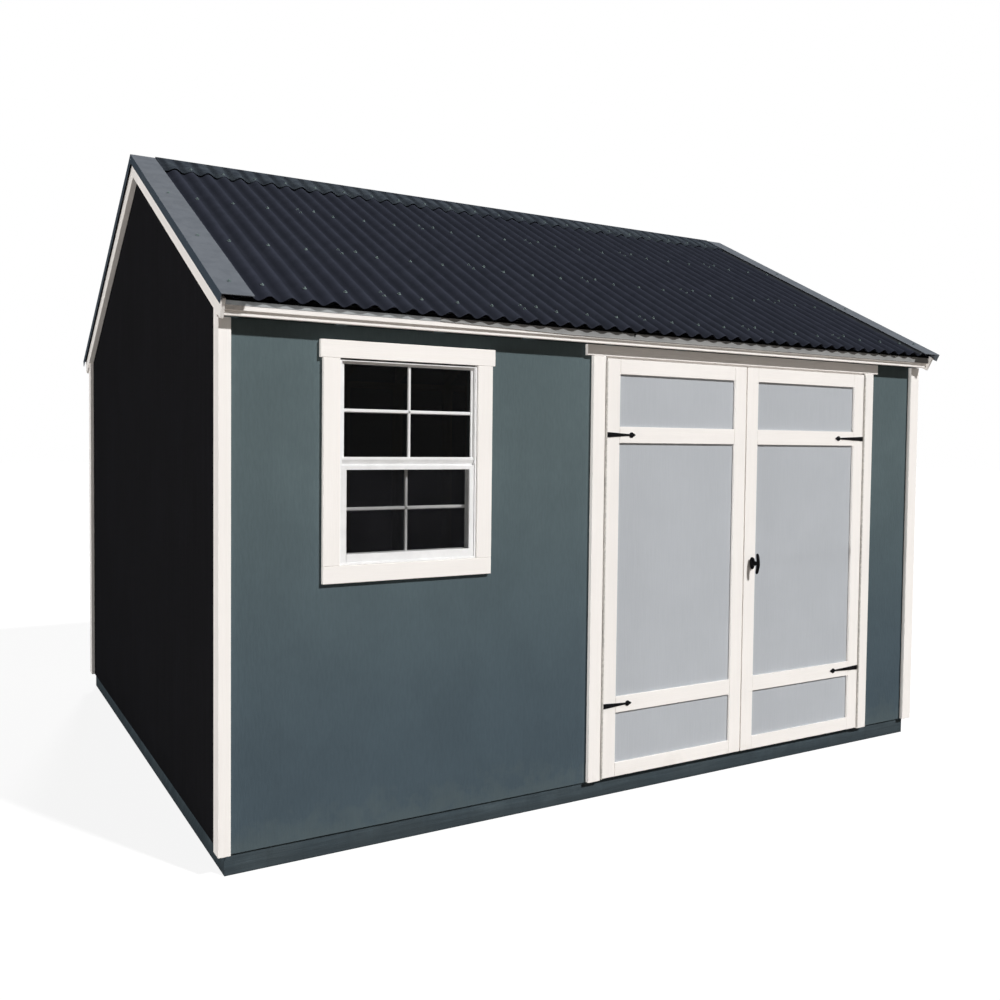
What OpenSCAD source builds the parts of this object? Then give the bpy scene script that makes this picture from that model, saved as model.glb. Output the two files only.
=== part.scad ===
// Wooden garden shed with a gable roof of corrugated sheets, a single-hung window and double doors.
// Millimetres. Origin: centre of the footprint at ground level. +X right, -Y front, +Z up.

/* [Body] */
// Width over the corner boards
body_w = 3658; // [3450:1:3900]
// Depth over the corner boards
body_d = 3048; // [2700:1:3400]
// Height of the wall plates, where the rafters sit
wall_top = 1930; // [1910:1:2100]

/* [Floor] */
// Height of the floor frame boards
floor_frame_h = 89; // [70:1:140]
// Thickness of a frame board, used for joists, studs, plates and rafters
frame_t = 38; // [32:1:45]
// Number of floor joists
joist_count = 10; // [8:1:12]
// Thickness of the floor deck
deck_t = 18; // [12:1:25]

/* [Walls] */
// Thickness of the siding sheets
siding_t = 11; // [9:1:16]
// Height of the lower edge of the siding
siding_bottom = 79; // [60:1:88]
// Depth of the wall frame
stud_w = 89; // [64:1:100]
// Bays between studs in the back wall
back_bays = 9; // [6:1:10]
// Bays between studs in each gable wall
gable_bays = 7; // [5:1:8]

/* [Trim] */
// Thickness of the trim boards
trim_t = 18; // [12:1:24]
// Height of the lower edge of the trim boards
trim_bottom = 80; // [70:1:90]
// Width of the front corner board at the window end
left_corner_w = 44; // [40:1:80]
// Width of the other front and back corner boards
corner_w = 62; // [45:1:90]
// Width of the side corner boards behind the front and back ones
side_corner_w = 46; // [35:1:80]

/* [Window] */
// Distance of the window's centre line from the left corner
window_from_left = 722; // [650:1:800]
// Width between the side trim boards
window_w = 569; // [500:1:640]
// Height between the sill and head trim boards
window_h = 750; // [660:1:756]
// Height of the sill board's upper edge
window_sill_z = 1064; // [1020:1:1070]
// Width of the side and sill trim boards
window_trim_w = 64; // [50:1:85]
// Height of the head trim board
window_head_h = 64; // [50:1:66]
// How far the head board passes the side boards
window_head_over = 11; // [0:1:25]
// Height of the meeting rail above the sill board
meeting_rail_z = 350; // [300:1:400]
// Height of the meeting rail
meeting_rail_h = 44; // [30:1:55]

/* [Doors] */
// Distance of the doors' centre line from the left corner
doors_from_left = 2430; // [2400:1:2500]
// Width between the side trim boards
doors_w = 1618; // [1500:1:1700]
// Height of the lower edge of the leaves
leaf_bottom = 86; // [82:1:95]
// Height of the upper edge of the leaves
leaf_top = 1876; // [1850:1:1878]
// Gap round the leaves
leaf_gap = 6; // [5.5:0.5:9]
// Width of the side trim boards
door_trim_w = 64; // [50:1:80]
// Height of the head trim board
door_head_h = 46; // [40:1:48]
// How far the head board passes the side boards
door_head_over = 32; // [0:1:60]
// Width of the stile boards
stile_w = 70; // [55:1:90]
// Height of the cross rails
rail_w = 69; // [50:1:90]
// Height of the top rail
top_rail_w = 64; // [50:1:90]
// Height of the bottom rail
bottom_rail_w = 59; // [50:1:90]
// Height of the middle of the upper cross rail
upper_rail_z = 1555; // [1450:1:1650]
// Height of the middle of the lower cross rail
lower_rail_z = 397; // [330:1:500]
// How far the white boards stand before the leaf's sheet
board_t = 10; // [8:1:14]
// Thickness of the leaf's sheet
panel_t = 11; // [9:1:14]
// Thickness of the ledges behind the leaf
ledge_t = 19; // [15:1:25]
// Height of the ledges
ledge_w = 88; // [60:1:120]
// Distance of the lowest and highest ledge from the leaf's ends
ledge_in = 66; // [50:1:120]

/* [Hinges and handle] */
// Length of the strap on the left leaf
left_strap_len = 155; // [120:1:220]
// Length of the strap on the right leaf
right_strap_len = 203; // [120:1:220]
// Thickness of the straps
strap_t = 3; // [2:0.5:4]
// Radius of the long hinge's knuckles
knuckle_r = 4; // [3.5:0.1:4.5]
// Radius of the long hinge's pin
pin_r = 1.8; // [1.5:0.1:2.2]
// Length of one knuckle
knuckle_len = 76.2; // [25.4:12.7:152.4]
// Distance of the handle from the leaf's free edge
handle_in = 48; // [40:1:52]
// Height of the handle
handle_z = 967; // [900:1:1050]
// Length of the handle's grip
grip_len = 97; // [70:1:110]
// Distance from the leaf to the middle of the grip
grip_out = 38; // [30:1:50]

/* [Roof] */
// Pitch of the roof in degrees
roof_pitch = 27.74; // [24:0.01:32]
// Height of the purlins' upper faces over the front of the siding
eave_z = 2030; // [2026:1:2045]
// Depth of the rafters
rafter_h = 89; // [75:1:95]
// Depth of the ridge board
ridge_board_h = 140; // [90:1:180]
// Number of rafter pairs
rafter_count = 10; // [7:1:11]
// Thickness of the purlins
purlin_t = 19; // [16:1:25]
// Width of the purlins
purlin_w = 64; // [50:1:90]
// Number of purlins on each slope
purlin_count = 5; // [4:1:7]
// How far the rafter tails pass the siding
tail_out = 44.5; // [40:0.5:60]
// Thickness of the inner eave board
inner_eave_t = 19; // [15:1:22]
// Thickness of the outer eave board
outer_eave_t = 10; // [8:1:14]
// How much lower the inner eave board reaches
eave_step = 17; // [10:1:25]
// Distance of the outer eave board's joint from the left corner
eave_joint = 1732; // [1500:1:2100]
// Depth of the rake boards
rake_h = 70; // [55:1:90]
// Thickness of the rake boards
rake_t = 13; // [11:1:20]
// Thickness of the packing between the rake boards and the gable siding
packing_t = 12; // [8:1:18]
// How far the rake boards pass the siding at the eaves
rake_out = 97; // [90:1:110]

/* [Roof sheets] */
// Pitch of the corrugation
wave_pitch = 76.2; // [70:0.1:82]
// Waves that one sheet covers
waves = 8; // [6:1:10]
// Depth of the corrugation
wave_h = 18; // [14:0.5:24]
// Thickness of the sheets
sheet_t = 2; // [1:0.5:3]
// How far a sheet passes its last crest over its neighbour, in steps of the corrugation
lap = 2; // [1:1:3]
// How far the sheets pass the siding at the eaves
sheet_out = 93; // [85:1:110]
// Reach of the ridge cap down each slope
cap_reach = 170; // [120:1:220]
// How far the ridge cap lifts between the crests it is screwed to
cap_lift = 5; // [0:0.5:10]
// Width of the verge flashing's flat top
verge_w = 112; // [90:1:140]
// Depth of the verge flashing's outer leg
verge_leg = 36; // [28:1:60]
// How far the verge flashing stands outside the corner boards
verge_over = 18; // [14:1:25]
// How far the verge flashing passes the siding at the eaves
verge_out = 123; // [115:1:140]
// Thickness of the verge flashing
verge_t = 2; // [1:0.5:3]
// Height of the drip edge's front leg
drip_h = 27; // [20:1:30]
// Thickness of the drip edge
drip_t = 1.5; // [1:0.5:2]

/* [Hidden] */
$fn = 48;

// Hairline between boards that butt, and between a sheet and what it lies on
hairline = 0.5;
seat = 0.3;
// Faces of the walls, as distances from the middle
half_w = body_w / 2;
half_d = body_d / 2;
gable_x = half_w - trim_t;
frame_x = gable_x - siding_t;
wall_y = half_d - trim_t;
frame_y = wall_y - siding_t;
// Heights in the wall
deck_z = floor_frame_h + deck_t;
stud_z = deck_z + frame_t;
plate_z = wall_top - frame_t;
// Roof
ridge_z = eave_z + wall_y * tan(roof_pitch);
rafter_n = -purlin_t - rafter_h;
lap_rise = sheet_t + seat;
verge_n = seat + wave_h + sheet_t + lap_rise + seat;
// Distance of the sheets' upper ends from the ridge line, and length drawn past it before mitring
sheet_top = 18;
cap_over = 30;
// Window
window_x = window_from_left - half_w;
window_lap = 8;
ring_side = 17;
ring_top = 13;
// Doors
doors_x = doors_from_left - half_w;
leaf_w = (doors_w - 3 * leaf_gap) / 2;
opening_x = doors_w / 2;
jack_x = opening_x - 19;
pin_x = opening_x - leaf_gap / 2;
pin_y = half_d + knuckle_r;
board_back = half_d - board_t;
panel_back = board_back - panel_t;
stem_r = 5;
ledge_count = 4;
ledge_side = 25;

// Height of a plane of the roof over a distance from the ridge line, n above the purlins
function roof_z(y, n = 0) = ridge_z - abs(y) * tan(roof_pitch) + n / cos(roof_pitch);

// Draws its children on the front wall, and again turned over on the back wall
module both_walls() {
  children();
  mirror([0, 1, 0]) children();
}

// Draws its children on the left side and again on the right side
module both_sides() {
  children();
  mirror([1, 0, 0]) children();
}

// A block between two corners
module block(low, high) {
  translate(low) cube(high - low);
}

// The front slope's own frame: x across, -y down the slope from the ridge line, z out of it
module front_slope() {
  translate([0, 0, ridge_z]) rotate([roof_pitch, 0, 0]) children();
}

// Extrudes an outline of [y, z] points from one x to another
module along_x(from, to) {
  translate([from, 0, 0]) rotate([90, 0, 90]) linear_extrude(to - from) children();
}

// Keeps what lies before the ridge's middle plane, less a gap
module front_half(gap = 0) {
  intersection() {
    children();
    block([-2 * half_w, -2 * half_d, -ridge_z], [2 * half_w, -gap, 2 * ridge_z]);
  }
}

// ---- Floor ----

// Board from the front rim to the back one, with its left face at x
module floor_board(x) {
  inner = frame_y - frame_t;
  block([x, -inner, 0], [x + frame_t, inner, floor_frame_h]);
}

module floor_rims() {
  color([0.28, 0.33, 0.36]) {
    both_walls() block([-frame_x, -frame_y, 0], [frame_x, -frame_y + frame_t, floor_frame_h]);
    both_sides() floor_board(-frame_x);
  }
}

module floor_joists() {
  step = (2 * frame_x - frame_t) / (joist_count - 1);
  color([0.7, 0.6, 0.45]) for (i = [1 : joist_count - 2]) floor_board(-frame_x + i * step);
}

module floor_deck() {
  color([0.75, 0.65, 0.5])
    block([-frame_x, -frame_y, floor_frame_h], [frame_x, frame_y, deck_z]);
}

// ---- Siding ----

module siding_sheet(from, to, bottom = siding_bottom) {
  block([from, -wall_y, bottom], [to, -frame_y, wall_top]);
}

module front_siding_left() {
  color([0.31, 0.37, 0.39]) difference() {
    siding_sheet(-gable_x, doors_x - opening_x);
    translate([window_x, 0, window_sill_z - window_lap])
      block([-window_w / 2 - window_lap, -wall_y - 1, 0],
            [window_w / 2 + window_lap, -frame_y + 1, window_h + 2 * window_lap]);
  }
}

module front_siding_right() {
  color([0.31, 0.37, 0.39]) siding_sheet(doors_x + opening_x, gable_x);
}

module front_siding_head() {
  color([0.31, 0.37, 0.39]) siding_sheet(
    doors_x - opening_x + hairline, doors_x + opening_x - hairline, wall_top - door_head_h);
}

module back_siding() {
  color([0.31, 0.37, 0.39]) mirror([0, 1, 0]) siding_sheet(-gable_x, gable_x);
}

module gable_sheet() {
  top = -purlin_t - seat;
  along_x(-gable_x, -frame_x) polygon([
    [-frame_y, siding_bottom], [frame_y, siding_bottom], [frame_y, roof_z(frame_y, top)],
    [0, roof_z(0, top)], [-frame_y, roof_z(frame_y, top)]]);
}

module left_gable_siding() {
  color([0.12, 0.13, 0.14]) gable_sheet();
}

module right_gable_siding() {
  color([0.12, 0.13, 0.14]) mirror([1, 0, 0]) gable_sheet();
}

// ---- Wall frame ----

module front_stud(x) {
  block([x, -frame_y, stud_z], [x + frame_t, -frame_y + stud_w, plate_z]);
}

module front_studs() {
  window_edge = window_w / 2 + window_lap;
  wide_bay_from = window_x + window_edge + frame_t;
  wide_bay_to = doors_x - jack_x - frame_t;
  color([0.78, 0.68, 0.5]) {
    front_stud(-frame_x);
    front_stud(window_x - window_edge - frame_t);
    front_stud(window_x + window_edge);
    front_stud((wide_bay_from + wide_bay_to - frame_t) / 2);
    front_stud(doors_x - jack_x - frame_t);
    front_stud(doors_x + jack_x);
    front_stud(frame_x - frame_t);
  }
}

module back_studs() {
  step = (2 * frame_x - frame_t) / back_bays;
  color([0.78, 0.68, 0.5]) mirror([0, 1, 0]) for (i = [0 : back_bays]) front_stud(-frame_x + i * step);
}

module gable_studs() {
  inner = frame_y - stud_w - hairline;
  step = (2 * inner - frame_t) / gable_bays;
  top = rafter_n - seat;
  color([0.78, 0.68, 0.5]) both_sides() {
    for (i = [0 : gable_bays])
      translate([-frame_x, -inner + i * step, stud_z]) cube([stud_w, frame_t, plate_z - stud_z]);
    for (i = [1 : gable_bays - 1]) {
      y = -inner + i * step;
      along_x(-frame_x, -frame_x + frame_t) polygon([
        [y, wall_top], [y + frame_t, wall_top],
        [y + frame_t, roof_z(y + frame_t, top)], [y, roof_z(y, top)]]);
    }
  }
}

module wall_plates() {
  inner = frame_y - stud_w;
  side_inner = inner - hairline;
  color([0.78, 0.68, 0.5]) {
    block([-frame_x, -frame_y, deck_z], [doors_x - jack_x, -inner, stud_z]);
    block([doors_x + jack_x, -frame_y, deck_z], [frame_x, -inner, stud_z]);
    block([-frame_x, inner, deck_z], [frame_x, frame_y, stud_z]);
    both_walls() block([-frame_x, -frame_y, plate_z], [frame_x, -inner, wall_top]);
    both_sides() {
      block([-frame_x, -side_inner, deck_z], [-frame_x + stud_w, side_inner, stud_z]);
      block([-frame_x, -side_inner, plate_z], [-frame_x + stud_w, side_inner, wall_top]);
    }
  }
}

module window_framing() {
  edge = window_w / 2 + window_lap;
  low = window_sill_z - window_lap;
  high = window_sill_z + window_h + window_lap;
  color([0.78, 0.68, 0.5]) {
    block([window_x - edge, -frame_y, low - frame_t], [window_x + edge, -frame_y + stud_w, low]);
    block([window_x - edge, -frame_y, high], [window_x + edge, -frame_y + stud_w, plate_z]);
  }
}

// ---- Roof frame ----

rafter_step = (2 * frame_x - frame_t) / (rafter_count - 1);

module rafters() {
  color([0.8, 0.7, 0.52]) both_walls() for (i = [0 : rafter_count - 1]) intersection() {
    front_slope() block([-frame_x + i * rafter_step + seat, -2 * half_d, rafter_n],
                        [-frame_x + i * rafter_step + frame_t - seat, 2 * half_d, -purlin_t]);
    block([-half_w, -wall_y - tail_out, wall_top], [half_w, -frame_t / 2, ridge_z]);
  }
}

module ridge_board() {
  top = roof_z(frame_t / 2, -purlin_t) - 1;
  color([0.8, 0.7, 0.52]) block([-frame_x, -frame_t / 2, top - ridge_board_h], [frame_x, frame_t / 2, top]);
}

module collar_ties() {
  low = wall_top + 0.62 * (ridge_z - wall_top);
  high = low + rafter_h;
  low_y = (ridge_z - low) / tan(roof_pitch) - 2.5 * purlin_t;
  high_y = (ridge_z - high) / tan(roof_pitch) - 2.5 * purlin_t;
  color([0.8, 0.7, 0.52]) for (i = [1 : rafter_count - 2])
    along_x(-frame_x + i * rafter_step + frame_t, -frame_x + i * rafter_step + 2 * frame_t)
      polygon([[-low_y, low], [low_y, low], [high_y, high], [-high_y, high]]);
}

module eave_blocks() {
  back = frame_y - frame_t;
  top = -purlin_t - seat;
  color([0.8, 0.7, 0.52]) both_walls() for (i = [0 : rafter_count - 2])
    along_x(-frame_x + i * rafter_step + frame_t, -frame_x + (i + 1) * rafter_step) polygon([
      [-frame_y, wall_top], [-back, wall_top], [-back, roof_z(back, top)], [-frame_y, roof_z(frame_y, top)]]);
}

module purlins() {
  first = 30;
  last = (wall_y + tail_out) / cos(roof_pitch) - purlin_w;
  step = (last - first) / (purlin_count - 1);
  color([0.8, 0.7, 0.52]) both_walls() front_slope() for (i = [0 : purlin_count - 1])
    translate([-gable_x, -first - i * step - purlin_w, -purlin_t]) cube([2 * gable_x, purlin_w, purlin_t]);
}

// ---- Roof sheets ----

// Straight steps in one wave, and the length of a step
wave_steps = 8;
wave_step = wave_pitch / wave_steps;
// Outline of a wavy strip of given height, with a crest at step 0, from one step to another;
// its underside starts at base and rises by a further amount in each step
module corrugation(from, to, step, height, base, rise = 0) {
  function low(i) = base + height / 2 * (1 + cos(360 * i / wave_steps)) + rise * i;
  polygon(concat(
    [for (i = [from : to]) [i * step, low(i)]],
    [for (i = [to : -1 : from]) [i * step, low(i) + sheet_t]]));
}

// Lays an outline of [x, n] points along the front slope between two distances from the ridge
module down_slope(from, to) {
  front_slope() translate([0, -from, 0]) rotate([90, 0, 0]) linear_extrude(to - from) children();
}

sheet_steps = waves * wave_steps;
sheet_count = ceil((body_w - wave_pitch) / (waves * wave_pitch));
edge_step = floor((half_w + verge_over - verge_t) / wave_step);

module roof_sheets() {
  for (k = [0 : sheet_count - 1]) {
    first = (k - sheet_count / 2) * sheet_steps;
    rise = lap_rise / sheet_steps;
    down_slope(sheet_top, (wall_y + sheet_out) / cos(roof_pitch))
      corrugation(max(first - 1, -edge_step), min(first + sheet_steps + lap, edge_step),
                  wave_step, wave_h, seat - rise * first, rise);
  }
}

module front_roof_sheets() {
  color([0.16, 0.17, 0.22]) roof_sheets();
}

module back_roof_sheets() {
  color([0.16, 0.17, 0.22]) mirror([0, 1, 0]) roof_sheets();
}

// Folded over the sheets' crests and screwed to every second one
module ridge_cap() {
  edge = floor((half_w + verge_over - verge_w - 1) / (2 * wave_step));
  color([0.2, 0.22, 0.27]) union() both_walls() front_half()
    down_slope(-cap_over, cap_reach) corrugation(-edge, edge, 2 * wave_step, cap_lift, verge_n);
}

// One side's two flashings, drawn on the left, with the underside of their plates n above the purlins
module verge_pair(n) {
  edge = half_w + verge_over;
  top = n + verge_t;
  length = (wall_y + verge_out - top * sin(roof_pitch)) / cos(roof_pitch);
  both_walls() front_half(hairline / 2) down_slope(-cap_over, length) polygon([
    [-edge, top - verge_leg], [-edge + verge_t, top - verge_leg], [-edge + verge_t, n],
    [-edge + verge_w, n], [-edge + verge_w, top], [-edge, top]]);
}

module verge_flashings() {
  rise = lap_rise * verge_w / (sheet_steps * wave_step);
  color([0.44, 0.46, 0.48]) {
    verge_pair(verge_n - lap_rise + rise);
    mirror([1, 0, 0]) verge_pair(verge_n);
  }
}

outer_eave_y = wall_y + tail_out + inner_eave_t + outer_eave_t;
// The eave boards end at the rake boards' inner faces
eave_x = gable_x + packing_t;

module drip_edges() {
  front = outer_eave_y + drip_t;
  back = wall_y + tail_out + 1;
  over = -0.5;
  under = -0.5 - drip_t;
  color([0.44, 0.46, 0.48]) both_walls() along_x(-eave_x, eave_x) polygon([
    [-front, roof_z(front) - drip_h], [-outer_eave_y, roof_z(front) - drip_h],
    [-outer_eave_y, roof_z(outer_eave_y, under)], [-back, roof_z(back, under)],
    [-back, roof_z(back, over)], [-front, roof_z(front, over)]]);
}

// ---- Eave and rake boards ----

module inner_eave_boards() {
  back = wall_y + tail_out;
  color([0.95, 0.93, 0.9]) both_walls()
    block([-eave_x, -back - inner_eave_t, wall_top],
          [eave_x, -back, roof_z(back + inner_eave_t, -2 * drip_t)]);
}

module outer_eave_boards() {
  back = outer_eave_y - outer_eave_t;
  joint = eave_joint - half_w;
  top = roof_z(outer_eave_y, -2 * drip_t);
  color([0.95, 0.93, 0.9]) both_walls() {
    block([-eave_x, -outer_eave_y, wall_top + eave_step], [joint - hairline / 2, -back, top]);
    block([joint + hairline / 2, -outer_eave_y, wall_top + eave_step], [eave_x, -back, top]);
  }
}

// The rake boards, on a packing that ends at the walls
module rake_boards() {
  color([0.95, 0.93, 0.9]) both_sides() both_walls() front_half(hairline / 2) front_slope() {
    block([-eave_x - rake_t, -(wall_y + rake_out) / cos(roof_pitch), -rake_h], [-eave_x, rake_h, 0]);
    block([-eave_x, -wall_y / cos(roof_pitch), -rake_h], [-gable_x, rake_h, 0]);
  }
}

// ---- Corner boards ----

module corner_board(from, to) {
  block([from, -half_d, trim_bottom], [to, -wall_y, wall_top]);
}

module corner_boards() {
  color([0.96, 0.94, 0.92]) {
    corner_board(-half_w, -half_w + left_corner_w);
    corner_board(half_w - corner_w, half_w);
    mirror([0, 1, 0]) {
      corner_board(-half_w, -half_w + corner_w);
      corner_board(half_w - corner_w, half_w);
    }
  }
}

module side_corner_boards() {
  back = wall_y - side_corner_w;
  top = -rake_h - seat;
  color([0.96, 0.94, 0.92]) both_sides() both_walls() along_x(-half_w, -gable_x) polygon([
    [-wall_y, trim_bottom], [-back, trim_bottom], [-back, roof_z(back, top)], [-wall_y, roof_z(wall_y, top)]]);
}

// ---- Trim round the openings ----

module trim_board(from, to, low, high) {
  block([from, -half_d, low], [to, -wall_y, high]);
}

module door_trim() {
  low = wall_top - door_head_h;
  outer = opening_x + door_trim_w;
  color([0.96, 0.94, 0.92]) translate([doors_x, 0, 0]) {
    trim_board(-outer - door_head_over, outer + door_head_over, low, wall_top);
    both_sides() trim_board(-outer, -opening_x, trim_bottom, low - hairline);
  }
}

module window_trim() {
  top = window_sill_z + window_h;
  half = window_w / 2;
  outer = half + window_trim_w;
  color([0.96, 0.94, 0.92]) translate([window_x, 0, 0]) {
    trim_board(-outer, outer, window_sill_z - window_trim_w, window_sill_z);
    both_sides() trim_board(-outer, -half, window_sill_z + hairline, top - hairline);
    trim_board(-outer - window_head_over, outer + window_head_over, top, top + window_head_h);
  }
}

// ---- Window ----

// A ring in the front wall, of outer half width and heights, cut by an inner half width and heights,
// between two depths behind the siding's face
module wall_ring(half, low, high, in_half, in_low, in_high, from, to) {
  translate([window_x, -wall_y, 0]) difference() {
    block([-half, from, low], [half, to, high]);
    block([-in_half, from - 1, in_low], [in_half, to + 1, in_high]);
  }
}

window_half = window_w / 2 + window_lap - 1;
window_low = window_sill_z - window_lap + 1;
window_high = window_sill_z + window_h + window_lap - 1;
sash_half = window_half - ring_side - seat;
sash_low = window_low + ring_top + seat;
sash_high = window_high - ring_top - seat;
meeting_z = window_sill_z + meeting_rail_z;

module window_frame() {
  color([0.94, 0.94, 0.93]) wall_ring(
    window_half, window_low, window_high,
    window_half - ring_side, window_low + ring_top, window_high - ring_top, 0, window_frame_d);
}

// Glass openings of the sashes, from the widths of their rails
upper_glass_half = sash_half - 11;
upper_glass_low = meeting_z + meeting_rail_h;
upper_glass_high = sash_high - 12;
lower_glass_half = sash_half - 19;
lower_glass_low = sash_low + 33;
lower_glass_high = meeting_z - 3;
// Depths behind the siding's face: the frame, the sashes' outer faces and their panes
window_frame_d = 62;
sash_t = 20;
upper_sash_d = 2;
lower_sash_d = upper_sash_d + sash_t + 2;
pane_d = 8;
pane_t = 4;

module window_sashes() {
  color([0.94, 0.94, 0.93]) {
    wall_ring(sash_half, meeting_z, sash_high,
              upper_glass_half, upper_glass_low, upper_glass_high, upper_sash_d, upper_sash_d + sash_t);
    wall_ring(sash_half, sash_low, meeting_z + meeting_rail_h - 4,
              lower_glass_half, lower_glass_low, lower_glass_high, lower_sash_d, lower_sash_d + sash_t);
  }
}

module pane(half, low, high, depth) {
  translate([window_x, -wall_y + depth, 0])
    block([-half + seat, 0, low + seat], [half - seat, pane_t, high - seat]);
}

module window_glass() {
  color([0.1, 0.11, 0.12, 0.6]) {
    pane(upper_glass_half, upper_glass_low, upper_glass_high, upper_sash_d + pane_d);
    pane(lower_glass_half, lower_glass_low, lower_glass_high, lower_sash_d + pane_d);
  }
}

// ---- Doors: each leaf is drawn as the left one, with x = 0 at the doors' middle ----

module left_leaf() {
  translate([doors_x, 0, 0]) children();
}

module right_leaf() {
  translate([doors_x, 0, 0]) mirror([1, 0, 0]) children();
}

leaf_from = -opening_x + leaf_gap;
leaf_to = leaf_from + leaf_w;

module leaf_panel() {
  block([leaf_from, -board_back, leaf_bottom], [leaf_to, -panel_back, leaf_top]);
}

module leaf_board(from, to, low, high) {
  block([from, -half_d, low], [to, -board_back, high]);
}

module leaf_boards() {
  inner_from = leaf_from + stile_w + hairline;
  inner_to = leaf_to - stile_w - hairline;
  leaf_board(leaf_from, leaf_from + stile_w, leaf_bottom, leaf_top);
  leaf_board(leaf_to - stile_w, leaf_to, leaf_bottom, leaf_top);
  leaf_board(inner_from, inner_to, leaf_bottom, leaf_bottom + bottom_rail_w);
  leaf_board(inner_from, inner_to, leaf_top - top_rail_w, leaf_top);
  for (z = [lower_rail_z, upper_rail_z])
    leaf_board(inner_from, inner_to, z - rail_w / 2, z + rail_w / 2);
}

module leaf_ledges() {
  from = leaf_from + ledge_side;
  to = leaf_to - ledge_side;
  first = leaf_bottom + ledge_in;
  step = (leaf_top - ledge_in - ledge_w - first) / (ledge_count - 1);
  for (i = [0 : ledge_count - 1])
    translate([from, -panel_back, first + i * step]) cube([to - from, ledge_t, ledge_w]);
}

// Flat strap from the hinge side: a tapered arm, a round knob and a small pointed tip
module strap(length) {
  root = 10.5;
  neck = 3.8;
  knob_r = 11.8;
  knob_x = length - 22;
  tip_x = length - 9;
  tip = 6.5;
  linear_extrude(strap_t) {
    polygon([[0, -root], [8, -root], [knob_x, -neck], [knob_x, neck], [8, root], [0, root]]);
    translate([knob_x, 0]) circle(r = knob_r);
    polygon([[knob_x, -neck], [tip_x, -tip], [length, 0], [tip_x, tip], [knob_x, neck]]);
  }
}

// Tube pieces round the pin, in every second place of the hinge's height
module knuckles(first) {
  count = floor((leaf_top - leaf_bottom) / knuckle_len);
  for (i = [first : 2 : count - 1])
    translate([-pin_x, -pin_y, leaf_bottom + i * knuckle_len + 0.2]) difference() {
      cylinder(r = knuckle_r, h = knuckle_len - 0.4);
      translate([0, 0, -1]) cylinder(r = pin_r + 0.3, h = knuckle_len + 2);
    }
}

// The leaf's half of the long hinge, with the two straps on the cross rails
module leaf_hinges(length) {
  plate_t = 1;
  union() {
    block([leaf_from - plate_t, -half_d, leaf_bottom], [leaf_from, -panel_back, leaf_top]);
    difference() {
      block([leaf_from - plate_t, -pin_y, leaf_bottom], [leaf_from, -half_d + 1, leaf_top]);
      count = floor((leaf_top - leaf_bottom) / knuckle_len);
      for (i = [0 : 2 : count])
        block([leaf_from - 5, -pin_y - 1, leaf_bottom + i * knuckle_len - 0.2],
              [leaf_from + 5, -half_d - 0.2, leaf_bottom + (i + 1) * knuckle_len + 0.2]);
    }
    knuckles(1);
  }
  for (z = [lower_rail_z, upper_rail_z])
    translate([leaf_from + 4, -half_d, z]) rotate([90, 0, 0]) strap(length - 4);
}

module jamb_hinge() {
  plate_t = 1;
  union() {
    block([-opening_x, -half_d, leaf_bottom], [-opening_x + plate_t, -wall_y, leaf_top]);
    difference() {
      block([-opening_x, -pin_y, leaf_bottom], [-opening_x + plate_t, -half_d + 1, leaf_top]);
      count = floor((leaf_top - leaf_bottom) / knuckle_len);
      for (i = [1 : 2 : count])
        block([-opening_x - 5, -pin_y - 1, leaf_bottom + i * knuckle_len - 0.2],
              [-opening_x + 5, -half_d - 0.2, leaf_bottom + (i + 1) * knuckle_len + 0.2]);
    }
    knuckles(0);
    translate([-pin_x, -pin_y, leaf_bottom]) cylinder(r = pin_r, h = leaf_top - leaf_bottom);
    translate([-pin_x, -pin_y, leaf_bottom + 0.2]) cylinder(r = pin_r + 0.6, h = knuckle_len - 0.4);
  }
}

module jamb_hinges() {
  color([0.6, 0.58, 0.55]) {
    left_leaf() jamb_hinge();
    right_leaf() jamb_hinge();
  }
}

// Hole for the handle's stem, in the right leaf drawn as a left one
module stem_hole() {
  translate([leaf_to - handle_in, -half_d - 1, handle_z]) rotate([-90, 0, 0]) cylinder(r = stem_r + 1, h = stud_w);
}

module left_door_panel() { color([0.7, 0.73, 0.76]) left_leaf() leaf_panel(); }
module left_door_boards() { color([0.96, 0.94, 0.92]) left_leaf() leaf_boards(); }
module left_door_ledges() { color([0.78, 0.68, 0.5]) left_leaf() leaf_ledges(); }
module left_door_hinges() { color([0.05, 0.05, 0.05]) left_leaf() leaf_hinges(left_strap_len); }

module right_door_panel() {
  color([0.7, 0.73, 0.76]) right_leaf() difference() {
    leaf_panel();
    stem_hole();
  }
}

module right_door_boards() {
  color([0.96, 0.94, 0.92]) right_leaf() difference() {
    leaf_boards();
    stem_hole();
  }
}

module right_door_ledges() { color([0.78, 0.68, 0.5]) right_leaf() leaf_ledges(); }
module right_door_hinges() { color([0.05, 0.05, 0.05]) right_leaf() leaf_hinges(right_strap_len); }

// ---- Handle ----

module at_handle() {
  right_leaf() translate([leaf_to - handle_in, -half_d, handle_z]) rotate([90, 0, 0]) children();
}

// Egg-shaped plate: its wide end above, its narrow end below, and their heights from the stem
plate_top_r = 13.5;
plate_top_y = 14;
plate_low_r = 8.5;
plate_low_y = -20;
plate_t = 5;

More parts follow.
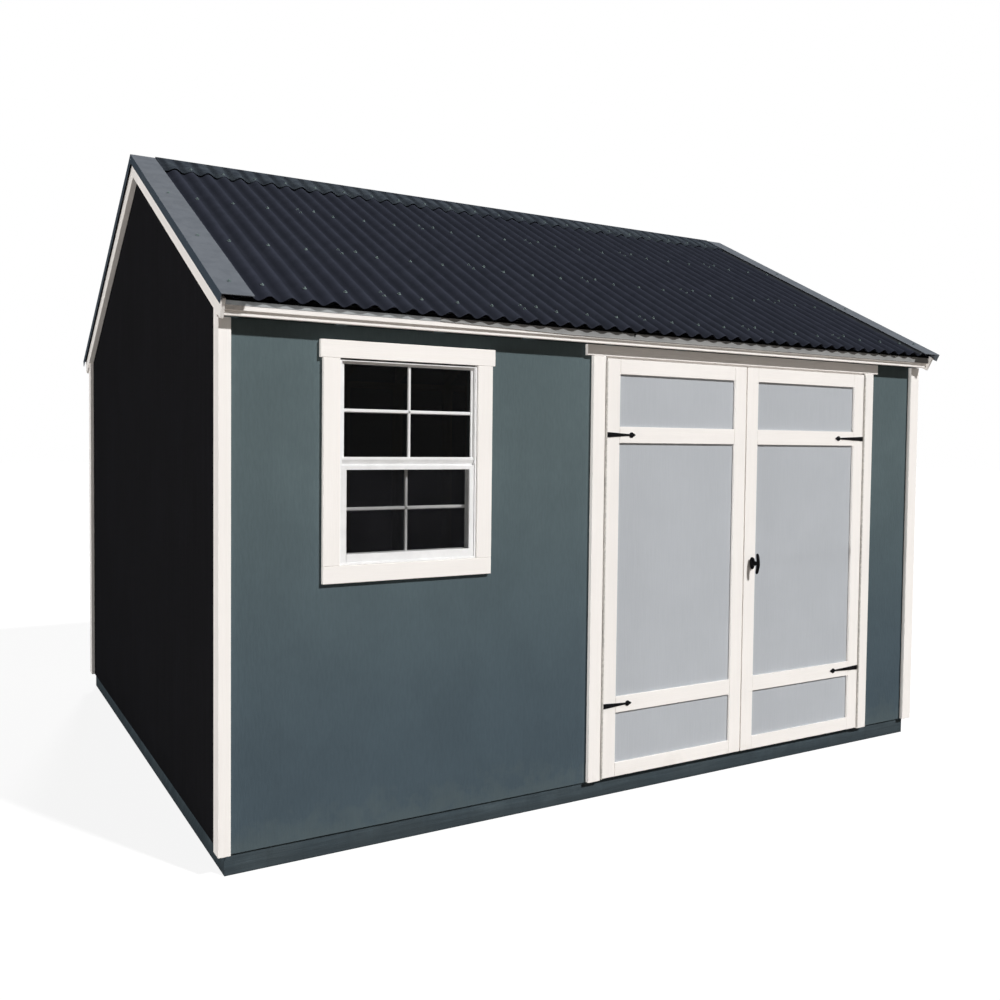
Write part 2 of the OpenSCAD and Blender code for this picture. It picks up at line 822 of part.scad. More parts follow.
module handle_plate() {
  lean = (plate_top_r - plate_low_r) / (plate_top_y - plate_low_y);
  side = sqrt(1 - lean * lean);
  color([0.06, 0.06, 0.06]) at_handle() difference() {
    union() {
      translate([0, plate_top_y, 0]) cylinder(r = plate_top_r, h = plate_t);
      translate([0, plate_low_y, 0]) cylinder(r = plate_low_r, h = plate_t);
      linear_extrude(plate_t) polygon([
        [-plate_top_r * side, plate_top_y - plate_top_r * lean], [-plate_low_r * side, plate_low_y - plate_low_r * lean],
        [plate_low_r * side, plate_low_y - plate_low_r * lean], [plate_top_r * side, plate_top_y - plate_top_r * lean]]);
    }
    translate([0, 0, -1]) cylinder(r = stem_r + 0.5, h = plate_t + 2);
  }
}

grip_r = 7;
grip_end_r = 5;
// Thickness of the stem where it meets the plate's face, and the gap it turns with
collar_r = 8.5;
collar_gap = 0.5;

module t_handle() {
  cam_from = -board_t - panel_t - 9;
  neck_from = plate_t + collar_gap;
  color([0.06, 0.06, 0.06]) at_handle() union() {
    translate([0, 0, cam_from]) cylinder(r = stem_r, h = grip_out - cam_from);
    translate([0, 0, neck_from]) cylinder(r1 = collar_r, r2 = stem_r, h = grip_out - grip_r - neck_from);
    for (turn = [-90, 90]) translate([0, 0, grip_out]) rotate([turn, 0, 0])
      cylinder(r1 = grip_r, r2 = grip_end_r, h = grip_len / 2);
    block([-8, -34, cam_from], [8, 10, cam_from + 3]);
  }
}

floor_rims();
floor_joists();
floor_deck();
front_siding_left();
front_siding_right();
front_siding_head();
back_siding();
left_gable_siding();
right_gable_siding();
front_studs();
back_studs();
gable_studs();
wall_plates();
window_framing();
rafters();
ridge_board();
collar_ties();
eave_blocks();
purlins();
front_roof_sheets();
back_roof_sheets();
ridge_cap();
verge_flashings();
drip_edges();
inner_eave_boards();
outer_eave_boards();
rake_boards();
corner_boards();
side_corner_boards();
door_trim();
window_trim();
window_frame();
window_sashes();
window_glass();
jamb_hinges();
left_door_panel();
left_door_boards();
left_door_ledges();
left_door_hinges();
right_door_panel();
right_door_boards();
right_door_ledges();
right_door_hinges();
handle_plate();
t_handle();
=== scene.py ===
"""The wooden shed, dressed: finishes, eased boards, corrugated roof, hardware, floor, light and camera."""
import logging
import math
from dataclasses import dataclass, field
from enum import Enum
from typing import Any, Iterable, Optional, Sequence

import bmesh
import bpy
import numpy as np
from mathutils import Matrix, Vector


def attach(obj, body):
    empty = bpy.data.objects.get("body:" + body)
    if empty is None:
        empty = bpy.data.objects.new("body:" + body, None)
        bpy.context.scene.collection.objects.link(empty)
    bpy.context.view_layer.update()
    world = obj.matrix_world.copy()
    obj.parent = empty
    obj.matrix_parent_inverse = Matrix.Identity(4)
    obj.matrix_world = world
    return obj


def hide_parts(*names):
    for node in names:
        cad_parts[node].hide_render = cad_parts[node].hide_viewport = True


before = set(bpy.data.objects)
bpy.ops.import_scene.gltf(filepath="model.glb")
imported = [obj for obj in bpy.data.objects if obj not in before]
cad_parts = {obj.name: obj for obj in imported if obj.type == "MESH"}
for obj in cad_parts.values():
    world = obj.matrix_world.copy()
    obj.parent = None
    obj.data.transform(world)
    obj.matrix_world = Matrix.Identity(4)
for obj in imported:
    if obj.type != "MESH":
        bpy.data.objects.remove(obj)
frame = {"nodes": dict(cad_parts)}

log = logging.getLogger("shed")
Array = np.ndarray
Faces = list[Array]
Shape = tuple[Array, Faces]
Triple = tuple[float, float, float]

# The UV map that lays the grain along each board
GRAIN = "grain"
WHITE = (1.0, 1.0, 1.0)
# Outer faces of the front siding, of the boards on it, and the line of the door hinges' pins
WALL_Y = -1.506
TRIM_Y = -1.524
PIN_Y = -1.528
# Pitch of the roof, and height of the purlins' planes where they meet
PITCH = math.radians(27.74)
RIDGE_Z = 2.030 + 1.506 * math.tan(PITCH)
# One wave of the sheets, and the eight waves that one sheet covers
WAVE = 0.0762
COVER = 0.6096
# Centre lines of the doors and of the window
DOORS_X = 0.601
WINDOW_X = -1.107
# Distances from the middle: where the verges' legs begin along X, where lumber is outdoors along Y
LEG_X = (1.8445, 1.8465)
OUTDOORS_Y = (-0.008 - WALL_Y, -0.007 - WALL_Y)
# Heights between which the siding passes from its darker, bluer tint at the bottom to its full paint
LOW_TINT_Z = (0.2, 1.7)
# Unit lengths across the doors, up, and out from them
OUTWARD = np.array([[1.0, 0, 0], [0, 0, 1.0], [0, -1.0, 0]])


class Side(Enum):
    """The two slopes of the roof."""

    FRONT = -1
    BACK = 1


class Grain(Enum):
    """The direction in which a node's wood grain runs."""

    ALONG_BOARD = None
    UPRIGHT = (0.0, 0.0, 1.0)
    ACROSS = (1.0, 0.0, 0.0)


def colour(red: float, green: float, blue: float) -> Triple:
    """The linear colour of three display values from 0 to 255."""
    shown = np.array([red, green, blue]) / 255
    return tuple(np.where(shown <= 0.04045, shown / 12.92, ((shown + 0.055) / 1.055) ** 2.4).tolist())


def shaded(tint: Triple, share: float) -> Triple:
    """The colour with each of its parts times the share."""
    return tuple(c * share for c in tint)


# ---- Shapes ----


def shell(top: Array, bottom: Array) -> Shape:
    """Closes two equal grids into a solid: the top, the bottom turned over, and a strip round the rim.

    Args:
        top: Points (rows, columns, 3) whose outward side is where the column step crosses the row step.
        bottom: The matching points on the other side.

    Returns:
        The points and the blocks of faces.
    """
    rows, columns = top.shape[:2]
    index = np.arange(rows * columns).reshape(rows, columns)
    up = np.stack([index[:-1, :-1], index[:-1, 1:], index[1:, 1:], index[1:, :-1]], -1).reshape(-1, 4)
    rim = np.concatenate([index[0, :-1], index[:-1, -1], index[-1, :0:-1], index[:0:-1, 0]])
    ahead = np.roll(rim, -1)
    count = rows * columns
    strip = np.stack([ahead, rim, rim + count, ahead + count], -1)
    return np.concatenate([top.reshape(-1, 3), bottom.reshape(-1, 3)]), [up, up[:, ::-1] + count, strip]


def loft(rings: Array) -> Shape:
    """Joins closed rings by quads from each to the next, and closes the first and last with a face.

    Args:
        rings: Points (rings, points of a ring, 3).

    Returns:
        The points and the blocks of faces.
    """
    count, size = rings.shape[:2]
    index = np.arange(count * size).reshape(count, size)
    ahead = np.roll(index, -1, axis=1)
    sides = np.stack([index[:-1], ahead[:-1], ahead[1:], index[1:]], -1).reshape(-1, 4)
    return rings.reshape(-1, 3), [sides, index[:1, ::-1], index[-1:]]


def turned(profile: Sequence[tuple[float, float]], sides: int) -> Shape:
    """Turns a profile about Z: x = r cos a, y = r sin a.

    Args:
        profile: Pairs of height and radius, from the lower end to the upper one.
        sides: How many steps a full turn has.

    Returns:
        The turned shape, its ends closed.
    """
    height, radius = np.array(profile).T
    angle = np.arange(sides) * 2 * np.pi / sides
    flat = radius[:, None, None] * np.stack([np.cos(angle), np.sin(angle)], -1)
    return loft(np.concatenate([flat, np.broadcast_to(height[:, None, None], flat.shape[:2] + (1,))], -1))


def cut_plate(outline: Array, thickness: float, ease: float) -> Shape:
    """A plate on z = 0 whose upper edge is drawn in towards the outline's middle.

    Args:
        outline: Points (count, 2) round the plate.
        thickness: Height of the plate.
        ease: How far the upper edge is drawn in, and how far below the top that starts.

    Returns:
        The plate as three rings.
    """
    middle = outline.mean(axis=0)
    away = outline - middle
    inner = middle + away * (1 - ease / np.maximum(np.linalg.norm(away, axis=1), ease * 2))[:, None]
    heights = (0.0, thickness - ease, thickness)
    rings = [np.column_stack([o, np.full(len(o), z)]) for o, z in zip((outline, outline, inner), heights)]
    return loft(np.stack(rings))


def tube(path: Array, radii: Array, sides: int) -> Shape:
    """Carries a circle along a path: each ring is square to the path's direction, with its own radius.

    Args:
        path: Points (count, 3) along the middle.
        radii: The radius at each point.
        sides: How many sides the circle has.

    Returns:
        The tube, its ends closed.
    """
    ahead = np.gradient(path, axis=0)
    ahead /= np.linalg.norm(ahead, axis=1)[:, None]
    guide = np.array([0.0, 0.0, 1.0]) if abs(ahead[0, 2]) < 0.9 else np.array([1.0, 0.0, 0.0])
    across = np.cross(ahead, guide)
    across /= np.linalg.norm(across, axis=1)[:, None]
    over = np.cross(ahead, across)
    angle = np.arange(sides) * 2 * np.pi / sides
    ring = np.cos(angle)[None, :, None] * across[:, None] + np.sin(angle)[None, :, None] * over[:, None]
    return loft(path[:, None] + radii[:, None, None] * ring)


def swept(sections: Sequence[Array], places: Sequence[float]) -> Shape:
    """Joins sections in y and z, each at its own x and all with as many points, into one bar."""
    return loft(np.stack([np.column_stack([np.full(len(s), x), s]) for s, x in zip(sections, places)]))


def block(low: Sequence[float], high: Sequence[float]) -> Shape:
    """A box, as two square rings.

    Args:
        low: One corner.
        high: The corner across from it.

    Returns:
        The box.
    """
    (x0, y0, z0), (x1, y1, z1) = np.sort(np.array([low, high], float), axis=0)
    ring = np.array([(x0, y0), (x1, y0), (x1, y1), (x0, y1)])
    return loft(np.stack([np.column_stack([ring, np.full(4, z)]) for z in (z0, z1)]))


def joined(shapes: Iterable[Shape]) -> Shape:
    """Puts several shapes into one list of points and faces.

    Args:
        shapes: The shapes, in order.

    Returns:
        All of their points, and their faces renumbered.
    """
    points, faces, start = [], [], 0
    for some_points, some_faces in shapes:
        points.append(some_points)
        faces += [group + start for group in some_faces]
        start += len(some_points)
    return np.concatenate(points), faces


def moved(shape: Shape, axes: Array, origin: Sequence[float] = (0, 0, 0)) -> Shape:
    """Places a shape: point = origin + x axis 0 + y axis 1 + z axis 2, with the axes as rows."""
    points, faces = shape
    return points @ np.asarray(axes, float) + np.asarray(origin, float), faces


def at_both_eaves(shape: Shape) -> Shape:
    """A shape at the front eave, and the same half a turn round at the back one."""
    return joined([shape, moved(shape, np.diag([-1.0, -1.0, 1.0]))])


def repeated(shape: Shape, places: Array) -> Shape:
    """Copies a small shape to many places, as whole arrays.

    Args:
        shape: The shape, drawn round the origin.
        places: Points (count, 3) for its origin.

    Returns:
        All the copies as one shape.
    """
    points, faces = shape
    steps = np.arange(len(places)) * len(points)
    copies = [(group[None] + steps[:, None, None]).reshape(-1, group.shape[1]) for group in faces]
    return (points[None] + places[:, None]).reshape(-1, 3), copies


def piece(name: str, shape: Shape, crease: Optional[float] = None) -> bpy.types.Object:
    """Makes a mesh object at the origin, its doubles merged and its faces turned outwards.

    Args:
        name: Name of the object and of its mesh.
        shape: The points and faces.
        crease: Angle in degrees past which an edge of the smooth surface stays crisp, or None for flat faces.

    Returns:
        The new object.
    """
    points, faces = shape
    mesh = bpy.data.meshes.new(name)
    mesh.from_pydata(points.tolist(), [], [face for group in faces for face in group.tolist()])
    work = bmesh.new()
    work.from_mesh(mesh)
    bmesh.ops.remove_doubles(work, verts=work.verts, dist=1e-7)
    bmesh.ops.recalc_face_normals(work, faces=work.faces)
    work.to_mesh(mesh)
    work.free()
    if crease is not None:
        mesh.shade_smooth()
        mesh.set_sharp_from_angle(angle=math.radians(crease))
    return placed(name, mesh)


def placed(name: str, mesh: bpy.types.Mesh) -> bpy.types.Object:
    """Puts a mesh into the scene as an object at the origin.

    Args:
        name: Name of the object.
        mesh: Its mesh.

    Returns:
        The new object.
    """
    item = bpy.data.objects.new(name, mesh)
    bpy.context.scene.collection.objects.link(item)
    return item


def ease_edges(item: bpy.types.Object, width: float) -> None:
    """Rounds a piece's edges.

    Args:
        item: The piece.
        width: Width of the rounding.
    """
    bevel = item.modifiers.new("eased edges", "BEVEL")
    bevel.width, bevel.segments, bevel.limit_method = width, 2, "ANGLE"
    bevel.angle_limit = math.radians(30)


# ---- Shader building ----


@dataclass
class Graph:
    """Adds nodes to the tree of a material, a world or a node group."""

    tree: bpy.types.NodeTree

    def put(self, node: bpy.types.Node, inputs: dict[Any, Any]) -> None:
        """Links sockets to a node's inputs, or sets the inputs' own values.

        Args:
            node: A node of this tree.
            inputs: Sockets or values by input name or number. A colour of three numbers is opaque.
        """
        for key, value in inputs.items():
            if isinstance(value, bpy.types.NodeSocket):
                self.tree.links.new(value, node.inputs[key])
            elif isinstance(value, tuple) and len(value) == 3 and node.inputs[key].type == "RGBA":
                node.inputs[key].default_value = (*value, 1.0)
            else:
                node.inputs[key].default_value = value

    def add(self, kind: str, inputs: Optional[dict[Any, Any]] = None, **settings: Any) -> bpy.types.Node:
        """Adds one shader node.

        Args:
            kind: The node type without its ShaderNode prefix.
            inputs: Values or sockets by input name or number.
            **settings: Properties of the node itself.

        Returns:
            The new node.
        """
        node = self.tree.nodes.new("ShaderNode" + kind)
        for key, value in settings.items():
            setattr(node, key, value)
        self.put(node, inputs or {})
        return node

    def mix(self, share: Any, first: Any, second: Any, blend: str = "MIX") -> Any:
        """The colour between two colours, by a share from 0 to 1."""
        inputs = {0: share, 6: first, 7: second}
        return self.add("Mix", inputs, data_type="RGBA", blend_type=blend).outputs[2]

    def layered(self, base: Any, layers: Iterable[tuple[Any, Any]]) -> Any:
        """Lays colours over a base colour, one after another.

        Args:
            base: The lowest colour.
            layers: Pairs of a share from 0 to 1 and the colour that it lets through.

        Returns:
            The colour on top.
        """
        for share, over in layers:
            base = self.mix(share, base, over)
        return base

    def calc(self, operation: str, *values: Any, clamp: bool = False) -> Any:
        """The result of one arithmetic step, held between 0 and 1 on demand."""
        return self.add("Math", dict(enumerate(values)), operation=operation, use_clamp=clamp).outputs[0]

    def times(self, first: Any, second: Any) -> Any:
        """The product of two values."""
        return self.calc("MULTIPLY", first, second)

    def spread(self, value: Any, low: float, high: float, to_low: float = 0.0, to_high: float = 1.0) -> Any:
        """Carries a value from one range to another, smoothly and held at the ends."""
        inputs = {"Value": value, "From Min": low, "From Max": high, "To Min": to_low, "To Max": to_high}
        return self.add("MapRange", inputs, interpolation_type="SMOOTHSTEP").outputs[0]

    def noise(self, vector: Any, scale: Any, detail: float = 3.0, rough: float = 0.55) -> Any:
        """Cloud noise from 0 to 1 at a vector."""
        inputs = {"Vector": vector, "Scale": scale, "Detail": detail, "Roughness": rough}
        return self.add("TexNoise", inputs).outputs["Fac"]

    def stretched(self, vector: Any, scale: Triple) -> Any:
        """The vector times a scale on each axis."""
        return self.add("Mapping", {"Vector": vector, "Scale": scale}).outputs[0]

    def part(self, vector: Any, axis: int) -> Any:
        """One coordinate of a vector."""
        return self.add("SeparateXYZ", {0: vector}).outputs[axis]

    def bump(self, height: Any, distance: float, strength: float = 1.0) -> Any:
        """The normal that a height bends."""
        inputs = {"Height": height, "Distance": distance, "Strength": strength}
        return self.add("Bump", inputs).outputs[0]

    def place(self) -> Any:
        """The point on the object, in metres."""
        return self.add("TexCoord").outputs["Object"]

    def grain(self) -> Any:
        """The point along and across the board, in metres."""
        return self.add("UVMap", uv_map=GRAIN).outputs[0]


def group_tree(name: str, inputs: dict[str, Any], outputs: Sequence[str]) -> tuple[Graph, Any, bpy.types.Node]:
    """Makes an empty node group.

    Args:
        name: Name of the group.
        inputs: Default values by input name; a tuple is a vector.
        outputs: Names of the values that it puts out.

    Returns:
        The group's graph, the sockets of its inputs and the node of its outputs.
    """
    tree = bpy.data.node_groups.new(name, "ShaderNodeTree")
    for key, value in inputs.items():
        kind = "NodeSocketVector" if isinstance(value, tuple) else "NodeSocketFloat"
        tree.interface.new_socket(key, in_out="INPUT", socket_type=kind).default_value = value
    for key in outputs:
        tree.interface.new_socket(key, in_out="OUTPUT", socket_type="NodeSocketFloat")
    return Graph(tree), tree.nodes.new("NodeGroupInput").outputs, tree.nodes.new("NodeGroupOutput")


class Effects:
    """The node groups that several finishes share, each made once."""

    made: dict[str, bpy.types.NodeTree] = {}

    @classmethod
    def use(cls, graph: Graph, name: str, inputs: dict[str, Any]) -> Any:
        """Places the named effect in a material, making its group on first use.

        Args:
            graph: The material's graph.
            name: Name of the effect, as its method here.
            inputs: Sockets or values by input name.

        Returns:
            The effect's outputs, by name.
        """
        if name not in cls.made:
            cls.made[name] = getattr(cls, name)()
        return graph.add("Group", inputs, node_tree=cls.made[name]).outputs

    @staticmethod
    def wood_grain() -> bpy.types.NodeTree:
        """Fibres stretched along the board, broken by longer streaks, as masks and a height.

        Returns:
            The group's tree.
        """
        graph, given, result = group_tree(
            "wood_grain", {"Grain": (0.0, 0.0, 0.0), "Fineness": 260.0, "Stretch": 0.035},
            ("Fibre", "Streak", "Height"))
        drift = graph.noise(graph.stretched(given["Grain"], (1.4, 6.0, 1.0)), 2.0, 2.0)
        across = graph.calc("ADD", graph.part(given["Grain"], 1), graph.times(drift, 0.02))
        along = graph.times(graph.part(given["Grain"], 0), given["Stretch"])
        line = graph.add("CombineXYZ", {0: along, 1: across}).outputs[0]
        fibre = graph.spread(graph.noise(line, given["Fineness"], 4.0, 0.62), 0.34, 0.66)
        streak = graph.spread(graph.noise(line, graph.times(given["Fineness"], 0.22), 3.0, 0.5), 0.36, 0.68)
        height = graph.calc("ADD", graph.times(fibre, 0.7), graph.times(streak, 0.3))
        graph.put(result, {"Fibre": fibre, "Streak": streak, "Height": height})
        return graph.tree

    @staticmethod
    def weathering() -> bpy.types.NodeTree:
        """Splash near the ground, run-off streaks and loose patches, as masks.

        Returns:
            The group's tree.
        """
        graph, given, result = group_tree(
            "weathering", {"Place": (0.0, 0.0, 0.0), "Splash Height": 0.25}, ("Splash", "Patch", "Runs"))
        place = given["Place"]
        ragged = graph.spread(graph.noise(place, 9.0, 5.0, 0.65), 0.25, 0.75, 0.35, 1.5)
        edge = graph.times(given["Splash Height"], ragged)
        splash = graph.calc("SUBTRACT", 1.0, graph.calc("DIVIDE", graph.part(place, 2), edge), clamp=True)
        patch = graph.spread(graph.noise(place, 3.2, 4.0, 0.6), 0.38, 0.66)
        runs = graph.spread(graph.noise(graph.stretched(place, (26.0, 26.0, 1.3)), 1.0, 3.0, 0.6), 0.5, 0.78)
        graph.put(result, {"Splash": splash, "Patch": patch, "Runs": runs})
        return graph.tree

    @staticmethod
    def edge_wear() -> bpy.types.NodeTree:
        """How far a rounded normal leaves the flat one, roughened by noise: a mask of worn edges.

        Returns:
            The group's tree.
        """
        graph, given, result = group_tree("edge_wear", {"Place": (0.0, 0.0, 0.0), "Width": 0.003}, ("Mask",))
        rounded = graph.add("Bevel", {"Radius": given["Width"]}, samples=4).outputs[0]
        flat = graph.add("NewGeometry").outputs["Normal"]
        same = graph.add("VectorMath", {0: rounded, 1: flat}, operation="DOT_PRODUCT").outputs["Value"]
        bent = graph.spread(graph.calc("SUBTRACT", 1.0, same), 0.02, 0.2)
        broken = graph.spread(graph.noise(given["Place"], 55.0, 4.0, 0.7), 0.42, 0.62)
        graph.put(result, {"Mask": graph.calc("MULTIPLY", bent, broken, clamp=True)})
        return graph.tree


# ---- Finishes ----


@dataclass(frozen=True)
class Finish:
    """A finish by name, whose material is made when the first piece asks for it."""

    name: str

    def material(self) -> bpy.types.Material:
        """Finds the finish's material, or makes it, with one Principled shader fed by the finish's own nodes.

        Returns:
            The material.
        """
        material = bpy.data.materials.get(self.name)
        if material is None:
            material = bpy.data.materials.new(self.name)
            material.use_nodes = True
            graph = Graph(material.node_tree)
            graph.put(material.node_tree.nodes["Principled BSDF"], self.look(graph))
        return material

    def look(self, graph: Graph) -> dict[str, Any]:
        """Adds the finish's nodes to the graph and gives the shader's inputs by name."""
        raise NotImplementedError


@dataclass(frozen=True)
class PaintedWood(Finish):
    """Opaque paint over wood whose grain still shows."""

    light: Triple
    dark: Triple
    stain: Triple
    grain_depth: float = 0.0006
    fineness: float = 260.0
    stretch: float = 0.035
    stain_share: float = 0.25
    splash: float = 0.2
    roughness: float = 0.7
    gloss: float = 0.2
    wear: Optional[Triple] = None
    low_tint: Optional[Triple] = None
    soil: Optional[Triple] = None

    def look(self, graph: Graph) -> dict[str, Any]:
        """Two paint colours mixed by the grain and by loose patches, then stains, splash and worn edges.

        Args:
            graph: The material's graph.

        Returns:
            The shader's inputs by name.
        """
        place = graph.place()
        grain = Effects.use(graph, "wood_grain", {
            "Grain": graph.grain(), "Fineness": self.fineness, "Stretch": self.stretch})
        marks = Effects.use(graph, "weathering", {"Place": place, "Splash Height": self.splash})
        tone = graph.calc("ADD", graph.times(grain["Fibre"], 0.45), graph.times(marks["Patch"], 0.55),
                          clamp=True)
        paint = graph.mix(tone, self.dark, self.light)
        # Darker and bluer towards the bottom, by the low tint.
        if self.low_tint is not None:
            tint = graph.mix(graph.spread(graph.part(place, 2), *LOW_TINT_Z), self.low_tint, WHITE)
            paint = graph.mix(1.0, paint, tint, "MULTIPLY")
        lines = graph.times(graph.calc("SUBTRACT", 1.0, grain["Streak"]), self.stain_share)
        layers = [(lines, self.stain), (graph.times(marks["Runs"], self.stain_share * 0.6), self.stain),
                  (graph.times(marks["Splash"], 0.5), self.soil or self.stain)]
        if self.wear is not None:
            worn = Effects.use(graph, "edge_wear", {"Place": place, "Width": 0.003})
            layers.append((graph.times(worn["Mask"], 0.55), self.wear))
        rough = graph.spread(grain["Fibre"], 0.0, 1.0, self.roughness + 0.1, self.roughness - 0.08)
        return {"Base Color": graph.layered(paint, layers), "Specular IOR Level": self.gloss,
                "Roughness": rough, "Normal": graph.bump(grain["Height"], self.grain_depth)}


@dataclass(frozen=True)
class BareWood(Finish):
    """Unpainted lumber or sheet, with early and late wood, and paint on what juts out of the walls."""

    early: Triple
    late: Triple
    knots: float = 1.0
    roughness: float = 0.75
    outside: Optional[Triple] = None

    def look(self, graph: Graph) -> dict[str, Any]:
        """Bands of late wood bent round knots, with fine fibres over them: sin(85 v + drift + bend).

        Args:
            graph: The material's graph.

        Returns:
            The shader's inputs by name.
        """
        along = graph.grain()
        grain = Effects.use(graph, "wood_grain", {"Grain": along, "Fineness": 320.0, "Stretch": 0.04})
        cells = graph.add("TexVoronoi", {"Vector": graph.stretched(along, (1.6, 7.0, 1.0)), "Scale": 1.0})
        knot = graph.spread(cells.outputs["Distance"], 0.05, 0.16, self.knots, 0.0)
        bend = graph.times(graph.spread(cells.outputs["Distance"], 0.0, 0.5, 1.0, 0.0), 0.9)
        drift = graph.noise(graph.stretched(along, (1.0, 9.0, 1.0)), 1.5, 2.0)
        rings = graph.calc("ADD", graph.times(graph.part(along, 1), 85.0),
                           graph.calc("ADD", graph.times(drift, 6.0), bend))
        band = graph.spread(graph.calc("SINE", rings), -0.2, 1.0)
        layers = [(graph.times(band, 0.55), self.late), (graph.times(grain["Fibre"], 0.25), self.late),
                  (graph.times(knot, 0.75), shaded(self.late, 0.35))]
        if self.outside is not None:
            reach = graph.calc("ABSOLUTE", graph.part(graph.place(), 1))
            layers.append((graph.spread(reach, *OUTDOORS_Y), self.outside))
        return {"Base Color": graph.layered(self.early, layers), "Specular IOR Level": 0.2,
                "Roughness": graph.spread(band, 0.0, 1.0, self.roughness + 0.08, self.roughness - 0.1),
                "Normal": graph.bump(grain["Height"], 0.0004)}


@dataclass(frozen=True)
class CoatedSheet(Finish):
    """Painted or plated steel, vinyl or rubber with a mottled coat."""

    light: Triple
    dark: Triple
    dust: Triple
    mottle: float = 14.0
    dust_share: float = 0.35
    roughness: float = 0.55
    metal: float = 0.0
    gloss: float = 0.3
    dents: float = 0.0008
    trough_shade: float = 0.0
    shaded_leg: Optional[Triple] = None
    wear: Optional[Triple] = None

    def look(self, graph: Graph) -> dict[str, Any]:
        """Two coat colours in patches, painted shade in the troughs and on the verges' legs, dust in clouds,
        worn edges and faint dents.

        Args:
            graph: The material's graph.

        Returns:
            The shader's inputs by name.
        """
        place = graph.place()
        patch = graph.spread(graph.noise(place, self.mottle, 5.0, 0.62), 0.34, 0.66)
        layers: list[tuple[Any, Any]] = [(patch, self.light)]
        # Darker towards the troughs of the waves: painted shade.
        if self.trough_shade > 0:
            crest = graph.calc("COSINE", graph.times(graph.part(place, 0), 2 * math.pi / WAVE))
            layers.append((graph.spread(crest, 0.6, -1.0, 0.0, self.trough_shade), shaded(self.dark, 0.3)))
        # The verges' outer legs darker than their plates: painted shade.
        if self.shaded_leg is not None:
            out = graph.calc("ABSOLUTE", graph.part(place, 0))
            layers.append((graph.spread(out, *LEG_X), self.shaded_leg))
        speck = graph.spread(graph.noise(place, self.mottle * 9.0, 3.0, 0.6), 0.45, 0.72)
        cloud = graph.spread(graph.noise(place, 2.4, 4.0, 0.6), 0.35, 0.7)
        layers.append((graph.times(graph.times(speck, cloud), self.dust_share), self.dust))
        if self.wear is not None:
            worn = Effects.use(graph, "edge_wear", {"Place": place, "Width": 0.0015})
            layers.append((graph.times(worn["Mask"], 0.6), self.wear))
        dents, fine = graph.noise(place, 6.0, 2.0, 0.5), graph.noise(place, 240.0, 2.0, 0.5)
        height = graph.calc("ADD", dents, graph.times(fine, 0.06))
        return {"Base Color": graph.layered(self.dark, layers), "Specular IOR Level": self.gloss,
                "Metallic": self.metal,
                "Roughness": graph.spread(patch, 0.0, 1.0, self.roughness + 0.1, self.roughness - 0.08),
                "Normal": graph.bump(height, self.dents, 0.6)}


@dataclass(frozen=True)
class PaneGlass(Finish):
    """Window glass with a little dust on it."""

    tint: Triple

    def look(self, graph: Graph) -> dict[str, Any]:
        """Clear glass with plain transmission, and a roughness that dust raises in clouds.

        Args:
            graph: The material's graph.

        Returns:
            The shader's inputs by name.
        """
        cloud = graph.noise(graph.place(), 7.0, 4.0, 0.6)
        return {"Base Color": self.tint, "Transmission Weight": 1.0, "IOR": 1.14,
                "Roughness": graph.spread(cloud, 0.35, 0.75, 0.02, 0.12)}


@dataclass(frozen=True)
class InsectMesh(Finish):
    """Fine woven mesh, seen as a thin dark veil."""

    thread: Triple
    cover: float

    def look(self, graph: Graph) -> dict[str, Any]:
        """Dark threads whose cover varies a little in clouds of dust.

        Args:
            graph: The material's graph.

        Returns:
            The shader's inputs by name.
        """
        cloud = graph.noise(graph.place(), 6.0, 4.0, 0.6)
        return {"Base Color": graph.mix(graph.spread(cloud, 0.35, 0.75), self.thread, shaded(self.thread, 1.6)),
                "Alpha": graph.spread(cloud, 0.3, 0.8, self.cover - 0.04, self.cover + 0.06),
                "Specular IOR Level": 0.1, "Roughness": 0.7}


SIDING = PaintedWood("siding paint", colour(95, 109, 112), colour(89, 102, 105), colour(56, 66, 72),
                     grain_depth=0.0004, fineness=105.0, stretch=0.22, stain_share=0.03, roughness=0.8,
                     gloss=0.0, low_tint=(0.64, 0.67, 0.76), soil=colour(96, 106, 104))
RIM_PAINT = PaintedWood("rim paint", colour(82, 93, 98), colour(70, 82, 89), colour(44, 48, 50),
                        splash=0.1, roughness=0.8, gloss=0.0)
# Near-black gables: painted shade, a darkened copy of the siding paint that stands for the gable ends' shade.
GABLE_SHADE_PAINT = PaintedWood("gable paint", colour(32, 32, 35), colour(30, 30, 32), colour(23, 23, 24),
                    grain_depth=0.0008, fineness=190.0, stretch=0.03, stain_share=0.2, roughness=0.8, gloss=0.0)
TRIM = PaintedWood("trim paint", colour(249, 245, 241), colour(245, 241, 237), colour(206, 198, 188),
                   grain_depth=0.0002, stain_share=0.05, splash=0.1, roughness=0.55, gloss=0.45,
                   wear=colour(206, 194, 176))
DOOR_PANEL = PaintedWood("door panel paint", colour(184, 188, 193), colour(179, 183, 188),
                         colour(164, 168, 172), grain_depth=0.0002, fineness=210.0, stain_share=0.03,
                         splash=0.08, roughness=0.65, gloss=0.15)
LUMBER = BareWood("bare lumber", colour(214, 184, 138), colour(168, 124, 78), outside=colour(78, 90, 93))
FLOOR_SHEET = BareWood("floor sheet", colour(196, 164, 118), colour(158, 120, 78), knots=0.6)
# The share that darkens the troughs of the sheets and of the cap is painted shade.
ROOF = CoatedSheet("roof coating", colour(56, 59, 70), colour(51, 54, 64), colour(76, 82, 86),
                   dust_share=0.12, roughness=0.75, gloss=0.0, dents=0.0003, trough_shade=0.5)
CAP = CoatedSheet("cap coating", colour(72, 79, 86), colour(54, 59, 68), colour(104, 114, 116),
                  mottle=24.0, dust_share=0.5, roughness=0.75, gloss=0.0, dents=0.0004, trough_shade=0.7)
